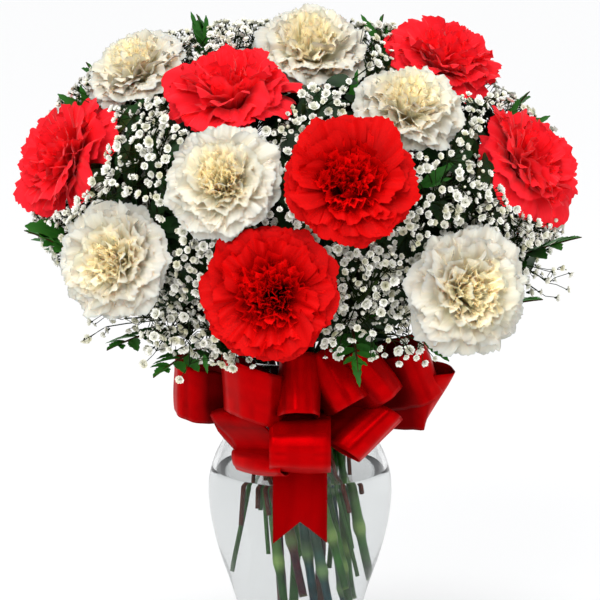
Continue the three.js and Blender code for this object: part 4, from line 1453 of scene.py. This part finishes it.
    def flower(self, work: Patchwork, bud: Bud, spot: np.ndarray, radius: float, random: Generator) -> None:
        """Adds one floret or bud.

        Args:
            work: the patchwork that it goes into.
            bud: its shape.
            spot: where it is.
            radius: its usual radius.
            random: source of its tilt, turn and size.
        """
        out = unit(unit(spot - np.array(self.dome.centre)) + random.normal(0, 0.36, 3) + [0, -0.12, 0.1])
        turn = random.uniform(0, 2 * math.pi)
        c, s = math.cos(turn), math.sin(turn)
        spin = np.array([[c, s, 0], [-s, c, 0], [0, 0, 1]])
        size = radius * float(np.clip(random.normal(1.0, 0.22), 0.55, 1.4))
        work.add(bud.points @ spin @ upright_frame(out) * size + spot, bud.grain, bud.faces, bud.looks)


@dataclass
class Fern:
    """All the fronds of leatherleaf fern: arched ribs with rows of toothed, pointed leaflets.

    Each frond has `pairs` of leaflets. `inner` leaflets fill the dome, except a bare place in front of
    the top white bloom, and `collar` of them spread over the vase's mouth. The depths are the least
    and greatest of a leaflet's base in the dome and the greatest of its tip, and the low ones are
    for leaflets below the blooms. A leaflet's fold and arch are shares of its width and length.
    """

    dome: Dome
    pairs: int = 6
    inner: int = 1600
    collar: int = 130
    bare_middle: Triple = (14, -42, 409)
    bare_half: Triple = (50, 28, 19)
    lowest_base: float = 237.0
    lowest_tip: float = 234.0
    depths: Triple = (0.66, 0.9, 0.91)
    low_depths: Triple = (0.66, 1.0, 1.03)
    leaf_teeth: int = 7
    leaf_fold: float = 0.28
    leaf_arch: float = 0.12
    rib_tip: float = 0.35
    rib_arch: float = 0.1
    twig: float = 0.45
    stems: list[Plant] = field(default_factory=list)

    def __post_init__(self) -> None:
        """Lists the fronds' stems."""
        for i, (base, tip, _) in enumerate(FRONDS):
            head = np.array(base, dtype=float)
            lowest = FERN_FEET[i % len(FERN_FEET)]
            self.stems.append(Plant(f"fern_{i + 1}", head, unit(np.array(tip) - head), FERN_STEM, lowest))

    def leaflet(
        self,
        work: Patchwork,
        base: np.ndarray,
        tip: np.ndarray,
        normal: np.ndarray,
        width: float,
        tone: float,
        rows: int = 15,
    ) -> None:
        """Adds a pointed leaflet with toothed edges.

        Args:
            work: the patchwork that it goes into.
            base: where it leaves the rib.
            tip: its point.
            normal: the way that its upper side faces.
            width: its greatest width.
            tone: how pale it is.
            rows: rows of points along it.
        """
        along = tip - base
        length = float(np.linalg.norm(along))
        side = unit(np.cross(normal, along))
        upper = unit(np.cross(along, side))
        v = np.linspace(0, 1, rows)[:, None]
        u = np.linspace(-1, 1, 5 if rows > 9 else 3)[None, :]
        teeth = 1 - 0.3 * ((v * self.leaf_teeth) % 1) * (np.abs(u) > 0.9)
        half = 0.5 * width * np.sin(math.pi * np.clip(v, 0.02, 0.985) ** 0.72) ** 0.75 * teeth
        offset = u * half
        lean = 0.3 * half * np.abs(u)
        lift = self.leaf_fold * np.abs(offset) + self.leaf_arch * length * v * (1 - v)
        flat = base + v[..., None] * along + offset[..., None] * side
        work.sheet(flat + lean[..., None] * unit(along) + lift[..., None] * upper, tone)

    def frond(self, work: Patchwork, plant: Plant, tip: np.ndarray, width: float, random: Generator) -> None:
        """Adds the rib of a frond and its leaflets, which are paler near its point.

        Args:
            work: the patchwork that they go into.
            plant: the frond's stem.
            tip: the frond's point.
            width: half its width as a share of its length.
            random: source of its irregularity.
        """
        length = float(np.linalg.norm(tip - plant.head))
        middle = (plant.head + tip) / 2 + UP * length * self.rib_arch
        rib = bowed(plant.head, middle, tip, 2 * self.pairs + 2)
        radii = list(np.linspace(plant.radius, self.rib_tip, len(rib)))
        work.tube(rib, radii, 6, [0.3] * len(rib), 1)
        side = unit(np.cross(UP, plant.facing))
        upper = unit(np.cross(plant.facing, side))
        along = unit(tip - plant.head)
        for k in range(1, 2 * self.pairs):
            share = k / (2 * self.pairs)
            sign = 1 if k % 2 else -1
            reach = length * width * math.sin(math.pi * (0.25 + share * 0.68)) * 1.08
            way = unit(side * sign + along * random.uniform(0.5, 0.75) - upper * random.uniform(0.05, 0.3))
            end = rib[k] + way * reach * random.uniform(0.92, 1.1)
            tilt = unit(upper + random.normal(0, 0.15, 3))
            tone = 0.15 + 0.7 * share + float(random.uniform(-0.1, 0.15))
            self.leaflet(work, rib[k], end, tilt, reach * 0.34 + 2.5, tone)
        self.leaflet(work, rib[-4], tip, upper, length * 0.1 + 1.5, 0.8)

    def undergrowth(self, random: Generator) -> tuple[np.ndarray, np.ndarray]:
        """Scatters leaflets inside the dome, along its surface and below the florets.

        Args:
            random: source of their places.

        Returns:
            The base and the tip of each, one row each.
        """
        dome = self.dome
        ways = even_ways(self.inner * 2, -0.8)
        count = (len(ways), 1)
        # Below the blooms the leaves reach the dome's own surface, so no light shows through there.
        under = ways[:, 2] < -0.3
        choices = zip(self.low_depths, self.depths)
        least, most, tip_most = (np.where(under, low, usual) for low, usual in choices)
        spots = dome.surface(ways, random.uniform(least, most))
        level = units(np.cross(ways, random.normal(0, 1, ways.shape)))
        tips = spots + level * random.uniform(15, 26, count) + ways * random.uniform(-3, 6, count)
        good = dome.clear_of_blooms(spots, 1.5) & dome.clear_of_blooms(tips, 0.5)
        good &= dome.depth(tips) < tip_most
        good &= (spots[:, 2] > self.lowest_base) & (tips[:, 2] > self.lowest_tip)
        for points in (spots, tips):
            good &= np.linalg.norm((points - self.bare_middle) / np.array(self.bare_half), axis=1) > 1
        kept = random.permutation(np.flatnonzero(good))[: self.inner]
        # A collar of leaflets spreads over the vase's mouth, behind the bow.
        count = (self.collar, 1)
        turn = random.uniform(0, 2 * math.pi, self.collar)
        way = np.stack([np.sin(turn), np.cos(turn), np.zeros(self.collar)], axis=-1)
        roots = way * random.uniform(20, 44, count) + UP * random.uniform(238, 252, count)
        ends = roots + way * random.uniform(14, 26, count) + random.normal(0, 5, (self.collar, 3))
        ends[:, 2] = np.maximum(ends[:, 2] - 3, 233)
        behind = (ends[:, 1] > -54) & dome.clear_of_blooms(roots, 1) & dome.clear_of_blooms(ends, 1)
        return np.concatenate([spots[kept], roots[behind]]), np.concatenate([tips[kept], ends[behind]])

    def build(self, finishes: Sequence[Material]) -> None:
        """Makes each frond, with its share of the leaflets inside the dome and of the sprigs.

        Args:
            finishes: the material of the leaflets and of the ribs.
        """
        random = default_rng(FERN_SEED)
        bases, tips = self.undergrowth(random)
        middles = [(np.array(base) + np.array(tip)) / 2 for base, tip, _ in FRONDS]
        owner = distances(bases, middles).argmin(axis=1)
        roots = np.array([base for base, _, _ in SPRIGS], dtype=float)
        sprig_owner = distances(roots, [tip for _, tip, _ in FRONDS]).argmin(axis=1)
        for i, (plant, (_, tip, width)) in enumerate(zip(self.stems, FRONDS)):
            work = Patchwork()
            upper = plant.add_thin(work, FERN_STEPS)
            self.frond(work, plant, np.array(tip, dtype=float), width, random)
            for base, end in zip(bases[owner == i], tips[owner == i]):
                self.add_twig(work, upper, base)
                size = float(np.linalg.norm(end - base))
                # The leaflets inside the dome keep to the near-black greens: painted shade deep in the
                # arrangement.
                tone = float(random.uniform(0, 0.15))
                self.leaflet(work, base, end, unit(base - self.dome.centre), 4 + size * 0.36, tone, 8)
            for k in np.flatnonzero(sprig_owner == i):
                base, end = (np.array(point, dtype=float) for point in SPRIGS[k][:2])
                self.add_twig(work, upper, base)
                size = float(np.linalg.norm(end - base))
                self.leaflet(work, base, end, FRONT + 0.2 * UP, size * SPRIGS[k][2], 0.75)
            work.make(f"frond_{i + 1}", finishes, "fern", plant.name)

    def add_twig(self, work: Patchwork, path: np.ndarray, base: np.ndarray) -> None:
        """Adds the twig from a frond's stem to the base of a leaflet.

        Args:
            work: the patchwork that it goes into.
            path: the upper stretch of the stem.
            base: where the leaflet starts.
        """
        start = path[int(np.linalg.norm(path - base, axis=1).argmin())]
        work.thread(bowed(start, (start + base) / 2 - UP * 3, base, 5), self.twig, 1)


def lathe(profile: Points) -> Patchwork:
    """Turns a profile of radius and height into a closed round surface."""
    work = Patchwork()
    work.sheet(turned(profile, LATHE_SIDES), 0.0, joined=True)
    return work


@dataclass
class GlassVase:
    """The turned glass vase and the water in it, which runs `wet` into the glass."""

    wet: float = 0.12
    corner: float = 8.0
    axis: float = 0.01
    wall: np.ndarray = field(init=False)

    def __post_init__(self) -> None:
        """Draws the smooth outer wall from foot to rim, as radius and height."""
        self.wall = smooth_through([(r, z) for z, r in VASE_WALL], 6)

    def glass(self, finish: Material) -> None:
        """Makes the glass: outer wall, rounded rim, inner wall and the thick base."""
        middle = np.array([VASE_WALL[-1][1] - RIM_ROUND, VASE_HEIGHT - RIM_ROUND])
        arc = np.linspace(0, math.pi, 9)[1:-1]
        rim = middle + RIM_ROUND * np.stack([np.cos(arc), np.sin(arc)], axis=-1)
        inner = self.wall[self.wall[:, 1] > BASE_GLASS + self.corner] - [GLASS, 0]
        floor = wall_radius(BASE_GLASS) - GLASS
        low = [inner[0], (floor - 1, BASE_GLASS + 3), (floor - 5, BASE_GLASS + 0.3), (floor - 10, BASE_GLASS)]
        foot = VASE_WALL[0][1]
        base = [(self.axis, 0.0), (foot - 3, 0.0), (foot - 1.2, 0.15), (foot - 0.4, 0.6)]
        ends = [*smooth_through(low, 4)[1:], (self.axis, BASE_GLASS)]
        work = lathe([*base, *self.wall, *rim, *inner[::-1], *ends])
        work.make("clear_vase", [finish], "glass", "vase")

    def water(self, finish: Material) -> None:
        """Makes the water, which wets the glass and rises a little where it meets it."""
        wall, inset = self.wall, GLASS - self.wet
        side = wall[(wall[:, 1] > BASE_GLASS + self.corner) & (wall[:, 1] < WATER_TOP - 1)] - [inset, 0]
        floor = wall_radius(BASE_GLASS) - inset
        bed = BASE_GLASS - self.wet
        low = [(floor - 10, bed), (floor - 5, BASE_GLASS + 0.2), (floor - 1, BASE_GLASS + 3), side[0]]
        top = float(np.interp(WATER_TOP, wall[:, 1], wall[:, 0])) - inset
        meniscus = [(top, 0.9), (top - 0.6, 0.35), (top - 1.8, 0.0), (self.axis, 0.0)]
        surface = [(r, WATER_TOP + rise) for r, rise in meniscus]
        profile = [(self.axis, bed), *smooth_through(low, 4)[:-1], *side, *surface]
        lathe(profile).make("clear_water", [finish], "water", "water")


# Loops with their far end below this height hang down out of the knot's shade, so they take less of its
# painted shade.
KNOT_SHADE = 200.0


@dataclass(frozen=True)
class Loop:
    """A loop of ribbon.

    It has a far end, the way of its width, how wide it opens, the way of its width at the far end,
    how far its middle bulges out of line, and whether its width is turned square to the way it runs.
    """

    end: Triple
    width: Triple
    opening: float
    tip: Triple | None = None
    bulge: Triple = (0, 0, 0)
    square: bool = True


@dataclass
class SatinBow:
    """The bow of satin ribbon, and the ribbon round the vase's neck.

    The ribbon is gathered to the share `pinch` of its width at the knot, with pleats `pleat` deep.
    """

    ribbon: float = 35.0
    thick: float = 0.45
    tie: tuple[float, float] = (204.0, 213.0)
    tie_thick: float = 0.8
    knot_half: Triple = (11.0, 8.5, 11.0)
    knot_height: float = 210.0
    pinch: float = 0.3
    start: float = 5.0
    loops: tuple[Loop, ...] = (
        Loop((-73, -62, 223), (0, -0.3, 1), 26, square=False),
        Loop((-38, -98, 228), (0, -0.3, 1), 38, square=False),
        Loop((0, -101, 232), (0, -0.3, 1), 25),
        Loop((25, -95, 236), (-0.16, -0.3, 1), 22),
        Loop((47, -86, 238), (-0.35, -0.3, 1), 23),
        Loop((77, -70, 235), (-0.45, -0.3, 1), 24),
        Loop((82, -60, 216), (-0.2, -0.2, 1), 22, (0.42, -0.3, 0.86)),
        Loop((-25, -82, 176), (0.9, -0.4, 0), 16, (0.75, -0.6, 0), (-25, -13, 12), False),
        Loop((0, -99, 185), (1, 0, 0), 32),
        Loop((46, -86, 196), (0.7, 0.1, 0.66), 20, square=False),
    )
    tail: tuple[Triple, ...] = ((0, -57, 206), (0, -68, 182), (0, -72, 155), (0, -71, 130))
    tail_half: float = 0.45
    notch: float = 13.0
    pleat: float = 1.8
    ripple: float = 0.3
    tail_curl: float = 1.1
    columns: int = 15

    @property
    def knot(self) -> np.ndarray:
        """The middle of the knot."""
        out = wall_radius(self.tie[1]) + GAP + self.tie_thick + self.knot_half[1]
        return np.array([0, -out, self.knot_height])

    def loop_grid(self, loop: Loop, random: Generator) -> tuple[np.ndarray, np.ndarray, float]:
        """Shapes a loop, gathered into pleats at the knot and open at its far end.

        Args:
            loop: the loop.
            random: source of its irregularity.

        Returns:
            Its grid of points, how much painted shade each row takes, and the length of ribbon in it.
        """
        along = np.array(loop.end) - self.knot
        size = loop.opening / 2
        middle = float(np.linalg.norm(along)) - size
        along = unit(along)
        near = unit(np.array(loop.width) - np.dot(loop.width, along) * along * loop.square)
        far = unit(loop.tip) if loop.tip else near
        beside = unit(np.cross(near, along))
        widest = math.pi / 2 + math.asin(size / middle)
        touch = np.array([middle + size * math.cos(widest), size * math.sin(widest)])
        straight = np.linspace(0, 1, 14, endpoint=False)
        arc = widest * (1 - 2 * np.linspace(0, 1, 25))
        side = np.array([self.start, 1.0]) + straight[:, None] * (touch - [self.start, 1.0])
        side[:, 1] += 0.09 * size * np.sin(straight * math.pi)
        outer = np.stack([middle + size * np.cos(arc), size * np.sin(arc)], axis=-1)
        line = np.concatenate([side * [1, -1], outer[::-1], side[::-1]])
        spread = np.clip((line[:, 0] - self.start) / (touch[0] - self.start), 0, 1)
        share = self.pinch + (1 - self.pinch) * np.minimum(1, spread * (1.97 - 0.97 * spread))
        bulge = np.outer(np.sin(math.pi * spread) ** 2, loop.bulge)
        twist = np.clip((line[:, 0] - middle) / size, 0, 1)
        steps = np.linalg.norm(np.diff(line, axis=0), axis=1)
        walk = np.concatenate([[0.0], np.cumsum(steps)])
        off = np.gradient(line, axis=0)
        off = np.stack([off[:, 1], -off[:, 0]], axis=-1) / np.linalg.norm(off, axis=1)[:, None]
        w = np.linspace(-1, 1, self.columns)
        phase = random.uniform(0, 2 * math.pi, 2)
        rows = []
        for k, (on, aside) in enumerate(line):
            across = unit(near * (1 - twist[k]) + far * twist[k]) * self.ribbon / 2
            pleat = self.pleat * max(0.0, 1 - spread[k] * 1.1) * np.sin(w * 2.0 * math.pi + phase[0])
            soft = 0.8 * spread[k] * np.sin(w * 1.7 + phase[1] + k * 0.08) - 0.9 * w**2 * spread[k]
            soft = soft + self.ripple * np.sin(walk[k] / 1.5 + phase[0] + 0.4 * w)
            soft = soft + self.ripple * np.sin(walk[k] / 2.3 + phase[1])
            push = (pleat + soft)[:, None] * (off[k, 0] * along + off[k, 1] * beside)
            middle_point = self.knot + along * on + beside * aside + bulge[k]
            rows.append(middle_point + w[:, None] * across * share[k] + push)
        # Painted shade: each loop is darker towards the knot, where its neighbours shade it.
        deep = np.clip((touch[0] + size - line[:, 0]) / (1.4 * size), 0, 1) ** 1.5
        # Painted shade also lies in bands across the ribbon, standing in for the shade of its soft folds.
        crease = np.sin(walk / 1.3 + phase[0]) + np.sin(walk / 2.1 + phase[1])
        shade = 0.3 if loop.end[2] < KNOT_SHADE else 1.0
        deep = np.clip(deep * shade + 0.22 * np.clip(crease, 0, 2), 0, 1)
        return np.array(rows), deep, float(steps.sum())

    def tail_grid(self, random: Generator) -> tuple[np.ndarray, float]:
        """Shapes the tail, which hangs flat with a swallow-tailed end.

        Args:
            random: source of its irregularity.

        Returns:
            Its grid of points, and its length.
        """
        line = smooth_through(self.tail, 9)
        w = np.linspace(-1, 1, self.columns)
        rows = []
        phase = random.uniform(0, 6)
        for k, point in enumerate(line):
            down = k / (len(line) - 1)
            share = self.pinch + (1 - self.pinch) * min(1.0, down * 2.6)
            pleat = self.pleat * max(0.0, 1 - down * 1.9) * np.sin(w * 2.2 * math.pi + phase)
            curl = self.tail_curl * down * np.sin(w * 1.9 + 0.5 + 2.5 * down)
            lift = self.notch * (1 - np.abs(w)) * down**6
            row = point + np.outer(w * share * self.tail_half * self.ribbon, [1, 0, 0])
            rows.append(row + np.outer(pleat + curl, [0, -1, 0]) + np.outer(lift, UP))
        length = np.linalg.norm(np.diff(line, axis=0), axis=1).sum()
        return np.array(rows), float(length)

    def knot_grid(self) -> np.ndarray:
        """Shapes the knot: a length of the ribbon, wrapped tight round the gathered loops."""
        turn = np.linspace(0, 2 * math.pi, 33)
        wide, deep, tall = self.knot_half
        rows = []
        for level in np.linspace(-1, 1, 17):
            round_in = math.sqrt(max(0.0, 1 - level**4)) * 0.92 + 0.05
            folds = 1 + 0.05 * np.sin(level * 9 + 0.6 * np.sin(turn))
            x = wide * level * np.ones_like(turn)
            y, z = (size * round_in * folds * way(turn) for size, way in ((deep, np.cos), (tall, np.sin)))
            rows.append(self.knot + np.stack([x, y, z], axis=-1))
        return np.array(rows)

    def build(self, finish: Material) -> None:
        """Makes the bow and the ribbon round the neck.

        Args:
            finish: the satin's material.
        """
        random = default_rng(BOW_SEED)
        work = Patchwork()
        for loop in self.loops:
            grid, tones, length = self.loop_grid(loop, random)
            work.sheet(grid, 0.0)
            work.grain[-1][:, 2] = np.repeat(tones, self.columns)
        grid, length = self.tail_grid(random)
        # The tail is painted half way to the deep red, as painted shade, and the knot 0.4 of the way.
        work.sheet(grid, 0.5)
        work.sheet(self.knot_grid(), 0.4)
        piece = work.make("satin_bow", [finish], "satin", "bow")
        solid = piece.modifiers.new("thickness", "SOLIDIFY")
        solid.thickness = self.thick * MM
        solid.offset = 0
        low, high = self.tie
        levels = np.linspace(low, high, 7)
        # The ribbon's edges are a little thinner than its middle.
        swell = [self.tie_thick * (1 - 0.2 * abs(k - 3) / 3) for k in range(len(levels))]
        inside = [wall_radius(z) + GAP for z in levels]
        outside = [r + thick for r, thick in zip(inside, swell)]
        ring = [*zip(outside, levels), *zip(inside[::-1], levels[::-1]), (outside[0], low)]
        lathe(ring).make("satin_tie", [finish], "satin", "neck_ribbon")


@dataclass
class Studio:
    """The floor, the lights and the camera, with the floor's half width and the clip in metres."""

    elevation: float = 10.0
    distance: float = 1500.0
    target: Triple = (0.0, 0.0, 261.0)
    lens: float = 150.0
    sensor: float = 36.0
    clip_end: float = 50.0
    floor_half: float = 16.0
    sky: str = "#FCFDFF"
    sky_strength: float = 0.6

    def build(self, floor_finish: Material) -> None:
        """Makes the studio.

        Args:
            floor_finish: the floor's material.
        """
        scene = bpy.context.scene
        scene.view_settings.view_transform = "Standard"
        tilt = math.radians(self.elevation)
        way = np.array([0.0, -math.cos(tilt), math.sin(tilt)])
        data = bpy.data.cameras.new("camera")
        data.lens = self.lens
        data.sensor_width = self.sensor
        data.clip_end = self.clip_end
        place = (np.array(self.target) + self.distance * way) * MM
        scene.camera = self.stand("camera", data, place, (math.pi / 2 - tilt, 0, 0))
        mesh = bpy.data.meshes.new("floor")
        edge = self.floor_half
        corners = [(-edge, -edge, 0), (edge, -edge, 0), (edge, edge, 0), (-edge, edge, 0)]
        mesh.from_pydata(corners, [], [(0, 1, 2, 3)])
        mesh.materials.append(floor_finish)
        self.stand("floor", mesh)
        world = bpy.data.worlds.new("studio")
        scene.world = world
        world.use_nodes = True
        light = {"Color": linear(self.sky), "Strength": self.sky_strength}
        set_inputs(world.node_tree.nodes["Background"], light)
        self.canopy(azimuth=-12.0, elevation=74.0, spread=30.0, strength=1.55)
        self.lamp("key", (-0.6, -1.9, 1.5), size=1.1, power=22.0)
        self.lamp("fill", (1.4, -1.6, 0.9), size=1.2, power=5.0)

    @staticmethod
    def stand(
        name: str, data: ID, place: Sequence[float] = (0, 0, 0), turn: Sequence[float] = (0, 0, 0)
    ) -> Object:
        """Puts a camera, a light or the floor in the studio.

        Args:
            name: its name.
            data: the camera, light or mesh.
            place: where it is, in metres.
            turn: its turn about X, Y and Z, in radians.

        Returns:
            The new object.
        """
        thing = bpy.data.objects.new(name, data)
        thing.location = place
        thing.rotation_euler = turn
        bpy.context.scene.collection.objects.link(thing)
        return thing

    def canopy(self, azimuth: float, elevation: float, spread: float, strength: float) -> None:
        """Adds the even light from the ceiling, which whitens the whole floor.

        Args:
            azimuth: the way that it comes from, from -Y towards +X, in degrees.
            elevation: how high it stands, in degrees.
            spread: how wide it looks from the floor, in degrees.
            strength: its strength, in watts to a square metre.
        """
        data = bpy.data.lights.new("canopy", "SUN")
        data.angle = math.radians(spread)
        data.energy = strength
        self.stand("canopy", data, turn=(math.radians(90 - elevation), 0, math.radians(azimuth)))

    def lamp(self, name: str, place: Triple, size: float, power: float) -> None:
        """Adds a square soft light that points at the arrangement.

        Args:
            name: its name.
            place: where it is, in metres.
            size: its side, in metres.
            power: its power, in watts.
        """
        data = bpy.data.lights.new(name, "AREA")
        data.size = size
        data.energy = power
        x, y, z = np.array(self.target) * MM - np.array(place)
        self.stand(name, data, place, (math.pi / 2 + math.atan2(z, math.hypot(x, y)), 0, math.atan2(-x, y)))


def make_finishes() -> dict[str, Material]:
    """Makes every material of the arrangement and the floor.

    Returns:
        The materials by short names.
    """
    finishes = {
        # Scarlet petals: one bright flat red, painted a little darker towards the claw as painted shade.
        Tint.SCARLET.value: PetalFinish(
            "scarlet_carnation_petal",
            stops=((0.0, "#DC0E1A"), (0.4, "#F21E2A"), (0.8, "#F6222E")),
            tint="#F01C28",
            glow=0.7,
        ),
        # Deep red petals: pure red rims over claws painted nearly black, as painted shade deep in the bloom,
        # and a brighter heart.
        Tint.DEEP_RED.value: PetalFinish(
            "deep_red_carnation_petal",
            stops=((0.0, "#1C0000"), (0.4, "#980000"), (0.85, "#C40202"), (1.0, "#CA0303")),
            tint="#F40A0A",
            tint_share=0.75,
            sheen=0.0,
            glow=0.3,
        ),
        # White petals: creamy yellow claws, clean white rims.
        Tint.WHITE.value: PetalFinish(
            "white_carnation_petal",
            stops=((0.0, "#FFF6CC"), (0.4, "#F2EBCC"), (0.72, "#DAD6C6"), (1.0, "#D0CEC6")),
            tint="#FFF8D4",
            tint_share=0.9,
            sheen=0.0,
            glow=0.8,
        ),
        # Stems: a smooth waxy skin with a soft gloss, mottled slowly along its length.
        "stem": GreenFinish("waxy_green_stem", "#123A12", "#3C8A28", "#A8D070", 20.0, 0.34, 0.3),
        "teal_stem": GreenFinish("waxy_blue_green_stem", "#0A262A", "#206066", "#90BC74", 20.0, 0.34, 0.3),
        "plum_stem": GreenFinish("waxy_purple_stem", "#22040C", "#6A142C", "#6E8A4C", 16.0, 0.34, 0.3),
        # The calyx: paler and duller than the stem, with fine ribs.
        "calyx": GreenFinish("ribbed_green_calyx", "#3E6B34", "#7FA35E", "#A9C07A", 3.0, 0.5),
        # Stalks, fronds and ribs: dark and nearly matt, with a paler accent in the water. The fern leaf's
        # near-black greens are painted shade for the leaflets deep in the arrangement, and its accent is the
        # leaf's own green.
        "stalk": GreenFinish("wiry_green_stalk", "#121C07", "#243312", "#47743A", 6.0, 0.6, 0.08),
        "frond": GreenFinish("leathery_fern_leaf", "#061806", "#12300D", "#2B701A", 6.0, 0.5, 0.25),
        "rib": GreenFinish("woody_fern_rib", "#1E120A", "#2A2A10", "#663424", 5.0, 0.55, 0.08),
        # Papery, silky, clear and opal pieces, as their finishes say
        "floret": FloretFinish("papery_white_floret"),
        "satin": SatinFinish("polyester_satin_ribbon"),
        "glass": ClearFinish("blown_clear_glass", 1.25, "#F2F3F3"),
        "water": ClearFinish("still_water", 1.2, "#F3F4F4", 60.0, 0.0001),
        "floor": OpalFinish("cast_opal_acrylic"),
    }
    return {name: finish.material() for name, finish in finishes.items()}


def main() -> None:
    """Builds the whole arrangement, piece by piece."""
    logging.basicConfig(level=logging.INFO, format="%(name)s: %(message)s")
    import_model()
    looks = make_finishes()
    Studio().build(looks["floor"])
    dome = Dome()
    breath, fern = BabysBreath(dome), Fern(dome)
    flowers = [flower.plant() for flower in CARNATIONS]
    set_in_neck([*flowers, *breath.stems, *fern.stems])
    for flower, plant in zip(CARNATIONS, flowers):
        flower.bloom(looks[flower.tint.value])
        flower.stem(plant, [looks[STEM_LOOKS[flower.seed % len(STEM_LOOKS)]], looks["calyx"]])
    breath.build([looks["floret"], looks["stalk"]])
    fern.build([looks["frond"], looks["rib"]])
    vase = GlassVase()
    vase.glass(looks["glass"])
    vase.water(looks["water"])
    SatinBow().build(looks["satin"])


if __name__ == "__main__":
    main()
